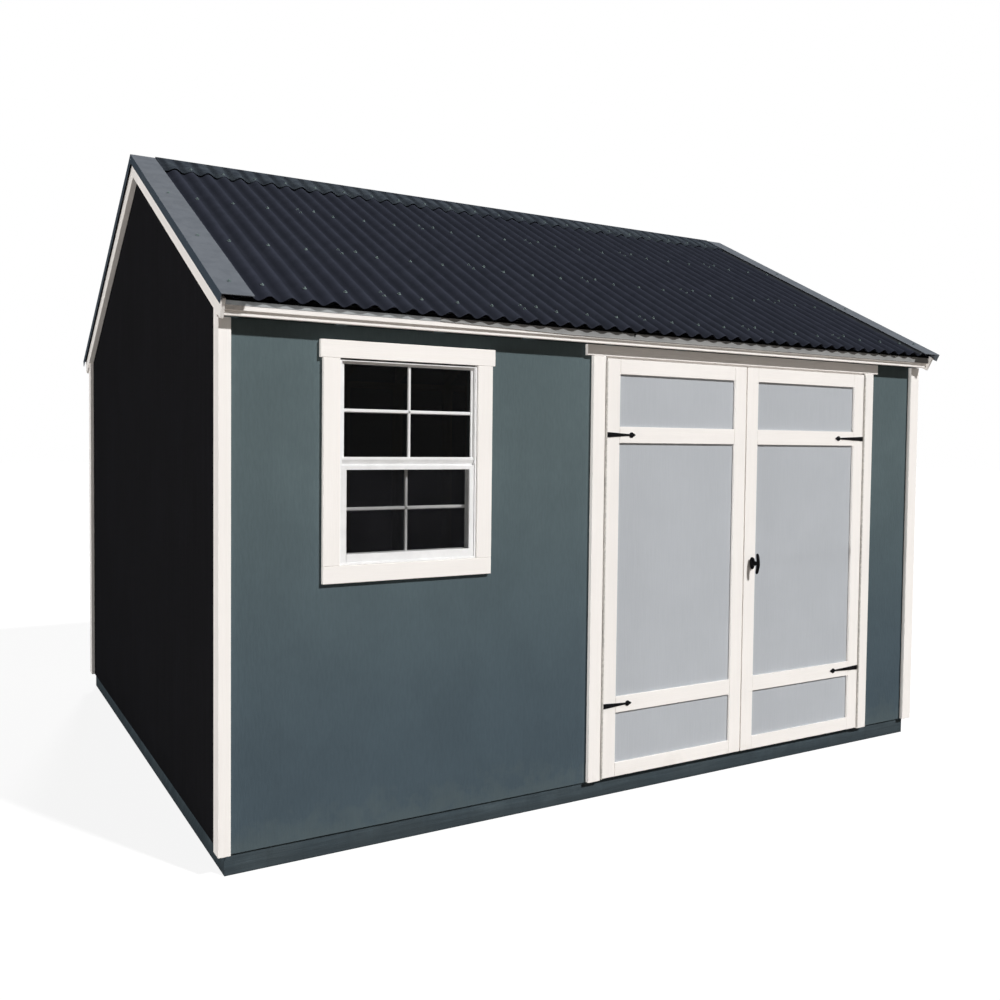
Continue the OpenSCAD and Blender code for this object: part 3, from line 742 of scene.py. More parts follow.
# The darker leg colour on the verges' outer legs is painted shade.
FLASHING = CoatedSheet("grey flashing", colour(114, 119, 126), colour(106, 111, 118), colour(140, 140, 136),
                       dust_share=0.2, roughness=0.6, gloss=0.0, dents=0.0004, shaded_leg=colour(66, 76, 86),
                       wear=colour(150, 154, 158))
DRIP = CoatedSheet("drip edge metal", colour(152, 155, 156), colour(138, 141, 143), colour(164, 160, 152),
                   mottle=20.0, dust_share=0.25, roughness=0.45, metal=0.4, gloss=0.5, dents=0.0003)
LAPPED = CoatedSheet("lapped drip metal", colour(150, 150, 149), colour(140, 141, 141), colour(160, 154, 146),
                     dust_share=0.2, roughness=0.6, gloss=0.05, dents=0.0003)
# Near-black strips set where the sheets' shadow falls on the drip edge: painted shade.
SHADE_FOAM = CoatedSheet("closure foam painted shade", colour(17, 17, 19), colour(11, 11, 12), colour(30, 30, 30),
                   mottle=90.0, dust_share=0.1, roughness=0.9, gloss=0.0, dents=0.0004)
# Black for the beads in the drip laps' joints, and for the bead under the window head, which is painted shadow.
SEALANT_AND_SHADOW = CoatedSheet("black sealant and painted shadow", colour(24, 25, 28), colour(18, 19, 22), colour(44, 44, 44),
                      mottle=50.0, dust_share=0.1, roughness=0.7, gloss=0.0)
WINDOW_COAT = CoatedSheet("window coat", colour(240, 240, 240), colour(232, 232, 232), colour(206, 202, 196),
                          dust_share=0.12, roughness=0.45, gloss=0.25, dents=0.0002)
IRON = CoatedSheet("black iron", colour(13, 13, 16), colour(8, 8, 10), colour(44, 42, 40),
                   mottle=40.0, dust_share=0.1, gloss=0.04, dents=0.0003, wear=colour(48, 46, 46))
STEEL = CoatedSheet("hinge steel", colour(206, 202, 196), colour(176, 174, 170), colour(150, 128, 104),
                    mottle=60.0, dust_share=0.4, roughness=0.5, dents=0.0002)
SCREW = CoatedSheet("screw coat", colour(122, 136, 136), colour(96, 110, 110), colour(140, 146, 140),
                    mottle=80.0, roughness=0.6, gloss=0.0)
# The pane's dark tint stands for the unlit room behind the glass: painted shade.
DARKENED_PANE = PaneGlass("window pane darkened as painted shade", colour(96, 100, 104))
MESH = InsectMesh("insect mesh", colour(25, 25, 28), 0.20)


def dress(item: bpy.types.Object, finish: Finish, body: str = "root",
          nodes: Sequence[str] = ()) -> None:
    """Gives a finished piece its material and body, hides the nodes that it stands for, and reports it.

    Args:
        item: The piece.
        finish: Its finish.
        body: The body that it rides on.
        nodes: The nodes that it stands for.
    """
    item.data.materials.clear()
    item.data.materials.append(finish.material())
    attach(item, body)
    if nodes:
        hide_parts(*nodes)
    log.info("%s: %d faces, %s", item.name, len(item.data.polygons), finish.name)


# ---- Boards and panels from the frame's nodes ----


def boards_of(mesh: bpy.types.Mesh) -> Array:
    """Numbers each vertex by the board it belongs to, spreading the lowest number along the edges.

    Args:
        mesh: The mesh of one or more separate boards.

    Returns:
        For each vertex, the number of its board's lowest vertex.
    """
    edges = np.zeros(len(mesh.edges) * 2, dtype=np.int64)
    mesh.edges.foreach_get("vertices", edges)
    first, second = edges.reshape(-1, 2).T
    label = np.arange(len(mesh.vertices))
    while True:
        low = np.minimum(label[first], label[second])
        fresh = label.copy()
        np.minimum.at(fresh, first, low)
        np.minimum.at(fresh, second, low)
        fresh = fresh[fresh]
        if np.array_equal(fresh, label):
            return label
        label = fresh


def lay_grain(mesh: bpy.types.Mesh, grain: Grain, seed: int) -> None:
    """Writes the grain map: u runs along each board, v is the sum of its two cross distances.

    Args:
        mesh: The mesh of one or more separate boards.
        grain: The direction of the grain, or each board's longest one.
        seed: Start of the offsets that make the boards differ.
    """
    count = len(mesh.vertices)
    points = np.zeros(count * 3)
    mesh.vertices.foreach_get("co", points)
    points = points.reshape(-1, 3)
    label = boards_of(mesh)
    offsets = np.random.default_rng(seed)
    flat = np.zeros((count, 2))
    for number in np.unique(label):
        chosen = label == number
        centred = points[chosen] - points[chosen].mean(axis=0)
        if grain.value is None:
            axes = np.linalg.svd(centred, full_matrices=True)[2]
        else:
            axis = np.array(grain.value)
            axes = np.stack([axis, np.roll(axis, 1), np.roll(axis, 2)])
        spread = centred @ axes.T
        flat[chosen] = np.column_stack([spread[:, 0], spread[:, 1] + spread[:, 2]]) + offsets.random(2) * 9
    corners = np.zeros(len(mesh.loops), dtype=np.int64)
    mesh.loops.foreach_get("vertex_index", corners)
    layer = mesh.uv_layers.new(name=GRAIN)
    layer.data.foreach_set("uv", flat[corners].ravel())


def timber(node: str, grain: Grain, ease: float) -> bpy.types.Object:
    """A copy of a node's boards with merged points, flat faces, a grain map and eased edges.

    Args:
        node: Name of the node.
        grain: The direction of the grain.
        ease: Width of the rounding of the boards' edges, or 0 for none.

    Returns:
        The new object, at the origin.
    """
    source = frame["nodes"][node]
    mesh = source.data.copy()
    mesh.transform(source.matrix_world)
    work = bmesh.new()
    work.from_mesh(mesh)
    bmesh.ops.remove_doubles(work, verts=work.verts, dist=1e-6)
    bmesh.ops.dissolve_limit(work, angle_limit=0.002, verts=work.verts, edges=work.edges)
    work.to_mesh(mesh)
    work.free()
    lay_grain(mesh, grain, sum(map(ord, node)))
    item = placed(node + "_dressed", mesh)
    if ease > 0:
        ease_edges(item, ease)
    return item


@dataclass
class Woodwork:
    """One node's boards, copied with eased edges and dressed."""

    node: str
    finish: Finish
    slot: str
    body: str
    grain: Grain
    ease: float

    def build(self) -> None:
        """Makes and dresses the boards in place of the node."""
        dress(timber(self.node, self.grain, self.ease), self.finish, self.body, (self.node,))


@dataclass
class PlainNodes:
    """Nodes shown as they are, with a finish."""

    nodes: tuple[str, ...]
    finish: Finish
    slot: str

    def build(self) -> None:
        """Puts the finish on each node's own mesh."""
        for name in self.nodes:
            node = frame["nodes"][name]
            node.data.materials.clear()
            node.data.materials.append(self.finish.material())
            log.info("%s: %s", name, self.finish.name)


# ---- Roof ----


def on_slope(side: Side, x: Array, along: Array, lift: Array) -> Array:
    """Points on a slope: y = side (s cos p + n sin p), z = ridge height - s sin p + n cos p.

    Args:
        side: The slope.
        x: Places along the ridge.
        along: Distances s down from the ridge.
        lift: Heights n over the purlins, square to the slope.

    Returns:
        The points, in the shape that the three arrays share.
    """
    x, along, lift = np.broadcast_arrays(x, along, lift)
    reach = along * math.cos(PITCH) + lift * math.sin(PITCH)
    height = RIDGE_Z - along * math.sin(PITCH) + lift * math.cos(PITCH)
    return np.stack([x, side.value * reach, height], -1)


@dataclass
class RoofSheets:
    """Corrugated sheets on one slope, each lapping three eighths of a wave over its neighbour."""

    side: Side
    half_width: float = 1.8383
    wave_depth: float = 0.009
    gap: float = 0.0003
    thickness: float = 0.002
    climb: float = 0.0023
    count: int = 6
    top: float = 0.018
    foot: float = 1.599 / math.cos(PITCH)
    steps: int = 24
    rows: int = 10

    def under(self, x: Array, start: Any) -> Array:
        """Height of a sheet's underside: a cosine wave, rising by the climb over one sheet's width."""
        wave = self.wave_depth * (1 + np.cos(2 * np.pi * x / WAVE))
        return self.gap + wave + self.climb * (x - start) / COVER

    def sheet(self, number: int) -> Shape:
        """One sheet between its laps, as two equal grids.

        Args:
            number: The sheet's number from the left, from 0.

        Returns:
            The closed sheet.
        """
        start = (number - self.count / 2) * COVER
        low = max(start - WAVE / 8, -self.half_width)
        high = min(start + COVER + WAVE / 4, self.half_width)
        x = np.linspace(low, high, int(round((high - low) / WAVE * self.steps)) + 1)[:, None]
        along = np.linspace(self.top, self.foot, self.rows)[None]
        base = self.under(x, start)
        upper = on_slope(self.side, x, along, base + self.thickness)
        lower = on_slope(self.side, x, along, base)
        order = slice(None) if self.side is Side.FRONT else slice(None, None, -1)
        return shell(upper[order], lower[order])

    def build(self) -> None:
        """Makes all the slope's sheets as one piece in place of the node."""
        node = f"{self.side.name.lower()}_roof_sheets"
        item = piece(node + "_smooth", joined(self.sheet(k) for k in range(self.count)), crease=35)
        dress(item, ROOF, nodes=(node,))


@dataclass
class RidgeCap:
    """The cap over the ridge, straight at the top and scalloped to every second wave at its edges."""

    half_length: float = 1.73355
    reach: float = 0.170
    lift: float = 0.0229
    scallop: float = 0.0025
    dip: float = 0.0075
    thickness: float = 0.002
    steps: int = 16
    rows: int = 9

    def half(self, side: Side, extra: float) -> Array:
        """One slope's grid: scallops and dips grow with the square of the distance from the ridge.

        Args:
            side: The slope.
            extra: Height over the cap's underside.

        Returns:
            Points (across, down, 3), the first column on the ridge line.
        """
        columns = int(self.half_length * 2 / WAVE * self.steps) + 1
        x = np.linspace(-self.half_length, self.half_length, columns)[:, None]
        along = np.linspace(0.0, self.reach, self.rows)[None]
        share = (along / self.reach) ** 2
        wave = self.scallop * (1 + np.cos(np.pi * x / WAVE)) - self.dip * (1 - np.cos(2 * np.pi * x / WAVE))
        lift = self.lift + self.scallop * (1 - share) + wave * share + extra
        grid = on_slope(side, x, along, lift)
        grid[:, 0, 1] = 0.0
        grid[:, 0, 2] = RIDGE_Z + lift[:, 0] / math.cos(PITCH)
        return grid

    def build(self) -> None:
        """Joins the two slopes' grids over the ridge and closes them into one sheet."""
        faces = []
        for extra in (self.thickness, 0.0):
            back, front = self.half(Side.BACK, extra), self.half(Side.FRONT, extra)
            faces.append(np.concatenate([back[:, :0:-1], front], axis=1))
        dress(piece("ridge_cap_scalloped", shell(*faces), crease=40), CAP, nodes=("ridge_cap",))


@dataclass
class VergeHems:
    """The verge flashings' inner edges, folded down onto the last wave of the sheets."""

    edge: float = 1.7362
    toe: float = 1.7275
    start: float = 0.1725
    foot: float = 1.598 / math.cos(PITCH)
    thickness: float = 0.0010
    tops: tuple[float, float] = (0.0228, 0.0247)
    toes: tuple[float, float] = (0.0078, 0.0096)
    fall: float = 0.0004

    def hem(self, side: Side, hand: int) -> Shape:
        """One folded strip: the section slopes from the plate's edge to the sheet and runs down the slope.

        Args:
            side: The slope.
            hand: -1 at the left verge, 1 at the right one, whose sheet lies a lap higher.

        Returns:
            The closed strip.
        """
        top, toe = self.tops[hand > 0], self.toes[hand > 0]
        section = np.array([(self.edge, top), (self.toe, toe), (self.toe + self.thickness, toe - self.fall),
                            (self.edge + self.thickness, top - self.thickness)])
        return loft(np.stack([on_slope(side, hand * section[:, 0], np.full(4, along), section[:, 1])
                              for along in (self.start, self.foot)]))

    def build(self) -> None:
        """Makes the four hems as one piece."""
        hems = joined(self.hem(side, hand) for side in Side for hand in (-1, 1))
        dress(piece("verge_hems", hems), FLASHING)


@dataclass
class DripLaps:
    """A deeper leg that laps over the drip edge on each eave, a little askew at its start, with one joint."""

    stations: tuple[float, ...] = (-1.0200, -0.4600, -0.2200, 1.8240)
    feet: tuple[float, ...] = (1.9650, 1.9535, 1.9525, 1.9520)
    joint: float = -0.1050
    joint_half: float = 0.003
    joint_low: float = 1.9640
    face: float = -1.5812
    thickness: float = 0.0008
    high: float = 1.9895

    def section(self, foot: float) -> Array:
        """The leg's outline, whose foot kicks out.

        Args:
            foot: Height of the foot.

        Returns:
            Points (6, 2) in y and z.
        """
        y, outside = self.face, self.face - self.thickness
        return np.array([(y, self.high), (outside, self.high), (outside, foot + 0.004),
                         (y - 0.0026, foot + 0.0004), (y - 0.0018, foot), (y, foot + 0.0034)])

    def build(self) -> None:
        """Makes the legs, and the beads in their joints."""
        legs = swept([self.section(foot) for foot in self.feet], self.stations)
        dress(piece("drip_laps", at_both_eaves(legs)), LAPPED)
        bead = block((self.joint - self.joint_half, self.face - 0.0014, self.joint_low),
                     (self.joint + self.joint_half, self.face - 0.0002, self.high))
        dress(piece("drip_beads", at_both_eaves(bead)), SEALANT_AND_SHADOW)


@dataclass
class ShadeClosureStrips:
    """Near-black foam strips with a rounded nose under the sheets' ends along each eave, set where the sheets'
    shadow falls: painted shade.
    """

    half: float = 1.8240
    front: float = -1.5850
    back: float = -1.5800
    low: float = 1.9785
    high: float = 1.9900

    def build(self) -> None:
        """Makes the strips of both eaves as one piece."""
        y, z = self.front, self.low
        section = np.array([(self.back, z), (y + 0.0012, z), (y, z + 0.0015), (y, self.high - 0.0010),
                            (y + 0.0010, self.high), (self.back, self.high)])
        strips = at_both_eaves(swept([section, section], (-self.half, self.half)))
        dress(piece("closure_strips_shade", strips), SHADE_FOAM)


@dataclass
class RoofScrews:
    """Hex-headed screws with washers on the sheets' crests, the cap and the verges."""

    washer: float = 0.0075
    head: float = 0.0043
    height: float = 0.0055
    collar: float = 0.0021
    rows: tuple[float, ...] = (0.65, 1.22, 1.70)
    lap_rows: tuple[float, ...] = (0.60, 1.17, 1.66)
    cap_row: float = 0.14
    cap_lift: float = 0.0258
    verge_rows: tuple[float, ...] = (0.62, 1.2, 1.7)
    verge_x: float = 1.79
    verge_lifts: tuple[float, float] = (0.0235, 0.0252)

    def one(self) -> Shape:
        """A round washer under a head, twelve-sided and drawn in to a hexagon past its collar.

        Returns:
            The screw, standing on the origin.
        """
        hexagon = np.where(np.arange(12) % 2, math.cos(math.pi / 6), 1.0)
        profile = [(-0.0004, self.washer), (0.0012, self.washer), (0.002, self.head * 1.15),
                   (0.0022, self.head), (self.height, self.head), (self.height + 0.0006, self.head * 0.7)]
        points, faces = turned(profile, 12)
        points[:, :2] *= np.where(points[:, 2:3] > self.collar, np.tile(hexagon, len(profile))[:, None], 1.0)
        return points, faces

    def spots(self) -> tuple[Array, Array, Array]:
        """Where a slope's screws stand: on every second crest, twice at each lap, on the cap and the verges.

        Returns:
            The places along the ridge, the distances down from it and the lifts.
        """
        sheets = RoofSheets(Side.FRONT)
        crests = np.arange(-22, 23, 2) * WAVE
        laps = ((np.arange(-2, 3) * COVER)[:, None] + np.array([0.0, WAVE])).ravel()
        x = np.concatenate([crests] * len(self.rows) + [laps] * len(self.lap_rows))
        along = np.concatenate([np.repeat(self.rows, len(crests)), np.repeat(self.lap_rows, len(laps))])
        start = np.floor(x / COVER + 1e-6) * COVER
        lift = sheets.gap + sheets.wave_depth * 2 + sheets.climb * (x - start) / COVER + sheets.thickness
        caps = np.arange(-21, 22, 2) * WAVE
        count = len(self.verge_rows)
        return (np.concatenate([x, caps, np.repeat((-self.verge_x, self.verge_x), count)]),
                np.concatenate([along, np.full(len(caps), self.cap_row), self.verge_rows, self.verge_rows]),
                np.concatenate([lift, np.full(len(caps), self.cap_lift), np.repeat(self.verge_lifts, count)]))

    def build(self) -> None:
        """Places the screws on both slopes, square to the sheets."""
        shapes = []
        for side in Side:
            normal = np.array([0, side.value * math.sin(PITCH), math.cos(PITCH)])
            down = np.array([0, side.value * math.cos(PITCH), -math.sin(PITCH)])
            screw = moved(self.one(), np.stack([np.cross(down, normal), down, normal]))
            shapes.append(repeated(screw, on_slope(side, *self.spots())))
        dress(piece("roof_screws", joined(shapes), crease=30), SCREW)


# ---- Window ----


@dataclass
class SashBars:
    """Where the bars of one sash run: half of the pane's width, its height, its middle and its depth."""

    half: float
    low: float
    high: float
    middle: float
    y: float


@dataclass
class WindowBars:
    """Crossed bars over each pane, with a flat face and sloped sides, and the meeting rail's nosing."""

    width: float = 0.0146
    face: float = 0.0076
    depth: float = 0.0065
    edge: float = 0.001
    sashes: tuple[SashBars, ...] = (SashBars(0.2631, 1.458, 1.7957, 1.627, -1.494),
                                    SashBars(0.2551, 1.1033, 1.411, 1.2652, -1.472))
    rail_half: float = 0.2745

    def bar(self, start: tuple[float, float], end: tuple[float, float], y: float) -> Shape:
        """Carries an eight-sided profile, w across and d deep, along a line in the wall.

        Args:
            start: x and z of the bar's first end, from the window's centre line.
            end: x and z of its last end.
            y: Depth of the bar's middle.

        Returns:
            The bar.
        """
        w, f, d, e = self.width / 2, self.face / 2, self.depth, self.edge
        section = np.array([(-w, -e), (-f, -d), (f, -d), (w, -e), (w, e), (f, d), (-f, d), (-w, e)])
        across = np.array([1.0, 0, 0]) if start[0] == end[0] else np.array([0, 0, 1.0])
        ring = section[:, :1] * across + section[:, 1:] * np.array([0.0, 1.0, 0.0])
        return loft(np.stack([np.array([WINDOW_X + x, y, z]) + ring for x, z in (start, end)]))

    def build(self) -> None:
        """Makes the bars of both sashes as one piece, and the nosing."""
        bars = [bar for s in self.sashes for bar in (
            self.bar((0.0, s.low), (0.0, s.high), s.y), self.bar((-s.half, s.middle), (s.half, s.middle), s.y))]
        dress(piece("window_bars", joined(bars)), WINDOW_COAT)
        dress(piece("meeting_rail_nosing", self.nosing()), WINDOW_COAT)

    def nosing(self) -> Shape:
        """An upright lip over a face that slopes in towards the lower sash.

        Returns:
            The nosing over the whole rail.
        """
        section = np.array([(-1.503, 1.458), (-1.5095, 1.4575), (-1.5105, 1.4565), (-1.5105, 1.4485),
                            (-1.5040, 1.4325), (-1.503, 1.4325)])
        return swept([section, section], (WINDOW_X - self.rail_half, WINDOW_X + self.rail_half))


@dataclass
class WindowRing:
    """Four white bars round an opening on the window's centre line, with eased edges."""

    name: str
    half: float
    low: float
    high: float
    bars: Triple
    depth: tuple[float, float]
    ease: float

    def build(self) -> None:
        """Makes the side, lower and upper bars as one piece."""
        side, under, over = self.bars
        y0, y1 = self.depth
        left, right = WINDOW_X - self.half, WINDOW_X + self.half
        ring = piece(self.name, joined([
            block((left, y0, self.low), (left + side, y1, self.high)),
            block((right - side, y0, self.low), (right, y1, self.high)),
            block((left + side, y0, self.low), (right - side, y1, self.low + under)),
            block((left + side, y0, self.high - over), (right - side, y1, self.high))]))
        ease_edges(ring, self.ease)
        dress(ring, WINDOW_COAT)


@dataclass
class WindowLip:
    """The frame's outer lip, which stands proud of the frame inside the trim boards, and a black bead over it
    that paints the head trim's shadow.
    """

    lip: WindowRing = field(default_factory=lambda: WindowRing(
        "window_lip", 0.2840, 1.0645, 1.8135, (0.0085, 0.0080, 0.0095), (-1.5160, -1.5050), 0.0010))
    shadow_bead_ends: tuple[float, float] = (0.001, 0.012)
    shadow_bead_height: float = 0.0042
    shadow_bead_depth: float = 0.0012

    def build(self) -> None:
        """Makes the lip, and the black bead between it and the trim's head, which is painted shadow."""
        self.lip.build()
        half, front, top = self.lip.half, self.lip.depth[0], self.lip.high
        bead = block((WINDOW_X - half + self.shadow_bead_ends[0], front - self.shadow_bead_depth, top - self.shadow_bead_height),
                     (WINDOW_X + half - self.shadow_bead_ends[1], front, top))
        dress(piece("head_shadow_bead", bead), SEALANT_AND_SHADOW)


@dataclass
class HalfScreen:
    """The insect screen in front of the lower sash: a slim white frame with mesh in its middle."""

    frame: WindowRing = field(default_factory=lambda: WindowRing(
        "screen_frame", 0.2740, 1.0725, 1.4270, (0.0185, 0.0300, 0.0160), (-1.5125, -1.5045), 0.0012))
    mesh_y: float = -1.5080
    mesh_depth: float = 0.0004
    tuck: float = 0.002

    def build(self) -> None:
        """Makes the frame, and the mesh as a thin sheet that is tucked into it."""
        self.frame.build()
        side, under, over = self.frame.bars
        reach, y = self.frame.half - side + self.tuck, self.mesh_y
        mesh = block((WINDOW_X - reach, y, self.frame.low + under - self.tuck),
                     (WINDOW_X + reach, y + self.mesh_depth, self.frame.high - over + self.tuck))
        dress(piece("screen_mesh", mesh), MESH)


# ---- Door hardware ----


@dataclass
class Leaf:
    """The straps and the long hinge of a door leaf, which bears the name of its body."""

    name: str
    hand: int
    strap: float
    edge: float = 0.803
    low: float = 0.086
    top: float = 1.876
    strap_heights: tuple[float, float] = (0.397, 1.555)
    strap_depth: float = 0.003
    strap_ease: float = 0.0008
    screws: tuple[float, float] = (0.016, 0.062)
    knob_back: float = 0.022
    knob: float = 0.0118
    pin_in: float = -0.003
    pin: float = 0.0018
    knuckle: float = 0.0254
    knuckle_gap: float = 0.0009
    knuckle_ease: float = 0.0004
    knuckle_radii: tuple[float, float] = (0.0034, 0.004)
    plate_front: float = -1.5265
    leaf_plate: tuple[float, float] = (-0.001, 0.0)
    leaf_plate_back: float = -1.503
    jamb_plate: tuple[float, float] = (-0.006, -0.005)

    def across(self, inward: Any) -> Any:
        """x of what lies a distance from the leaf's hinge edge towards the seam."""
        return DOORS_X + self.hand * (self.edge - np.asarray(inward))

    def strap_shape(self) -> Shape:
        """One strap: a tapered arm, a round knob and a small pointed tip, drawn as an outline.

        Returns:
            The strap, along +x from the hinge edge.
        """
        length, knob = self.strap, self.strap - self.knob_back
        turn = np.linspace(-2.78, -0.42, 12)
        arm = np.array([[0.004, -0.0105], [0.012, -0.0105], [knob - self.knob, -0.0038]])
        bow = np.column_stack([knob + self.knob * np.cos(turn), self.knob * np.sin(turn)])
        tip = np.array([[length - 0.0085, -0.0062], [length, 0.0]])
        under = np.concatenate([arm, bow, tip])
        outline = np.concatenate([under, under[-2::-1] * np.array([1, -1])])
        return cut_plate(outline, self.strap_depth, self.strap_ease)

    def straps(self) -> Shape:
        """Both straps with their screw heads.

        Returns:
            The straps in place on the leaf.
        """
        shapes = []
        axes = np.array([[-self.hand, 0, 0], OUTWARD[1], OUTWARD[2]])
        head = turned([(0.0, 0.0042), (0.0012, 0.0038), (0.0021, 0.0022)], 12)
        for z in self.strap_heights:
            shapes.append(moved(self.strap_shape(), axes, (self.across(0.0), TRIM_Y, z)))
            for inward in (*self.screws, self.strap - self.knob_back):
                shapes.append(moved(head, axes, (self.across(inward), TRIM_Y - self.strap_depth, z)))
        return joined(shapes)

    def knuckles(self, first: int) -> Shape:
        """Every second knuckle of the long hinge, as short tubes round the pin.

        Args:
            first: Number of the first knuckle from the leaf's foot, 0 or 1.

        Returns:
            The knuckles in place.
        """
        length, gap, ease = self.knuckle, self.knuckle_gap, self.knuckle_ease
        end, middle = self.knuckle_radii
        profile = [(gap, end), (gap + ease, middle), (length - gap - ease, middle), (length - gap, end)]
        levels = self.low + np.arange(first, int((self.top - self.low) / length), 2) * length
        places = np.column_stack([np.full(len(levels), self.across(self.pin_in)),
                                  np.full(len(levels), PIN_Y), levels])
        return repeated(turned(profile, 12), places)

    def plate(self, inward: tuple[float, float], back: float) -> Shape:
        """A plate of the long hinge, as high as the leaf, between two distances inward and back to a y."""
        first, last = self.across(np.array(inward))
        return block((first, self.plate_front, self.low), (last, back, self.top))

    def jamb_hinge(self) -> Shape:
        """The jamb's plate, its knuckles and the pin.

        Returns:
            The fixed half of the long hinge.
        """
        pin = moved(turned([(0.0, self.pin), (self.top - self.low, self.pin)], 10), np.eye(3),
                    (float(self.across(self.pin_in)), PIN_Y, self.low))
        return joined([self.plate(self.jamb_plate, WALL_Y), self.knuckles(0), pin])

    def build(self) -> None:
        """Makes the straps, and the leaf's half of the long hinge."""
        nodes = (f"{self.name}_hinges",)
        straps = piece(f"{self.name}_straps", self.straps(), crease=30)
        dress(straps, IRON, self.name, nodes)
        hinge = joined([self.plate(self.leaf_plate, self.leaf_plate_back), self.knuckles(1)])
        dress(piece(f"{self.name}_long_hinge", hinge, crease=30), STEEL, self.name, nodes)


@dataclass
class Handle:
    """Egg-shaped plate, flared stem and bowed grip on the right leaf."""

    place: Triple = (0.652, TRIM_Y, 0.967)
    grip: float = 0.097
    out: float = 0.041

    def plate(self) -> Shape:
        """Egg-shaped rings, x = (12.8 + 2.4 sin a) cos a and y = 28 sin a - 0.5 mm, that shrink to a low dome.

        Returns:
            The plate, standing on the origin.
        """
        angle = np.linspace(0, 2 * np.pi, 28, endpoint=False)
        egg = np.column_stack([(0.0128 + 0.0024 * np.sin(angle)) * np.cos(angle),
                               0.028 * np.sin(angle) - 0.0005])
        levels = ((0.0, 1.0), (0.0060, 1.0), (0.0095, 0.94), (0.0120, 0.78), (0.0130, 0.5))
        return loft(np.stack([np.column_stack([egg * share, np.full(len(egg), z)]) for z, share in levels]))

    def turning(self) -> Shape:
        """The stem, the grip across its end and the latch bar behind the leaf.

        Over t from -1 to 1 the grip's path bows back by 8 t^2 mm, and its radius is (8.2 - 2.2 t^2) mm,
        with round ends.

        Returns:
            The turning handle, on the axis of its stem.
        """
        stem = turned([(-0.030, 0.005), (0.0110, 0.005), (0.0136, 0.0124), (0.020, 0.0120),
                       (0.025, 0.0096), (0.032, 0.0084), (0.038, 0.0090)], 18)
        t = np.linspace(-1, 1, 25)
        path = np.column_stack([0.0012 * t, t * self.grip / 2, self.out - 0.008 * t ** 2])
        radii = (0.0082 - 0.0022 * t ** 2) * np.sqrt(1.0005 - np.abs(t) ** 14)
        bar = block((-0.008, -0.034, -0.030), (0.008, 0.010, -0.027))
        return joined([stem, tube(path, radii, 16), bar])

    def build(self) -> None:
        """Makes the plate on the leaf and the turning handle."""
        for name, shape, body, node in (("handle_plate_domed", self.plate(), "right_door", "handle_plate"),
                                        ("t_handle_bowed", self.turning(), "door_handle", "t_handle")):
            item = piece(name, moved(shape, OUTWARD, self.place), crease=40)
            dress(item, IRON, body, (node,))


@dataclass
class DoorHardware:
    """Both leaves' straps and long hinges, and the handle."""

    leaves: tuple[Leaf, Leaf] = (Leaf("left_door", -1, 0.155), Leaf("right_door", 1, 0.203))

    def build(self) -> None:
        """Builds the hardware of each leaf, the jambs' halves of the hinges and the handle."""
        for leaf in self.leaves:
            leaf.build()
        jambs = piece("jamb_hinges_fine", joined(leaf.jamb_hinge() for leaf in self.leaves), crease=30)
        dress(jambs, STEEL, nodes=("jamb_hinges",))
        Handle().build()


@dataclass
class DoorStops:
    """Painted strips behind the gaps of the closed doors: one under the head and one behind the seam."""

    front: float = -1.516
    back: float = -1.478
    head: float = 1.884
    head_depth: float = 0.006
    reach: float = 0.800
    seam: tuple[float, float] = (-0.0035, 0.001)
    seam_heights: tuple[float, float] = (0.088, 1.874)
    ease: float = 0.0006

    def build(self) -> None:
        """Makes the head's stop on the shed and the seam's stop on the left leaf, with eased edges."""
        head = block((DOORS_X - self.reach, self.front, self.head - self.head_depth),
                     (DOORS_X + self.reach, self.back, self.head))
        seam = block((DOORS_X + self.seam[0], self.front, self.seam_heights[0]),
                     (DOORS_X + self.seam[1], self.back, self.seam_heights[1]))
        for name, shape, body in (("head_stop", head, "root"), ("seam_stop", seam, "left_door")):
            strip = piece(name, shape)
            lay_grain(strip.data, Grain.ALONG_BOARD, len(name))
            ease_edges(strip, self.ease)
            dress(strip, TRIM, body)


# ---- Stage ----


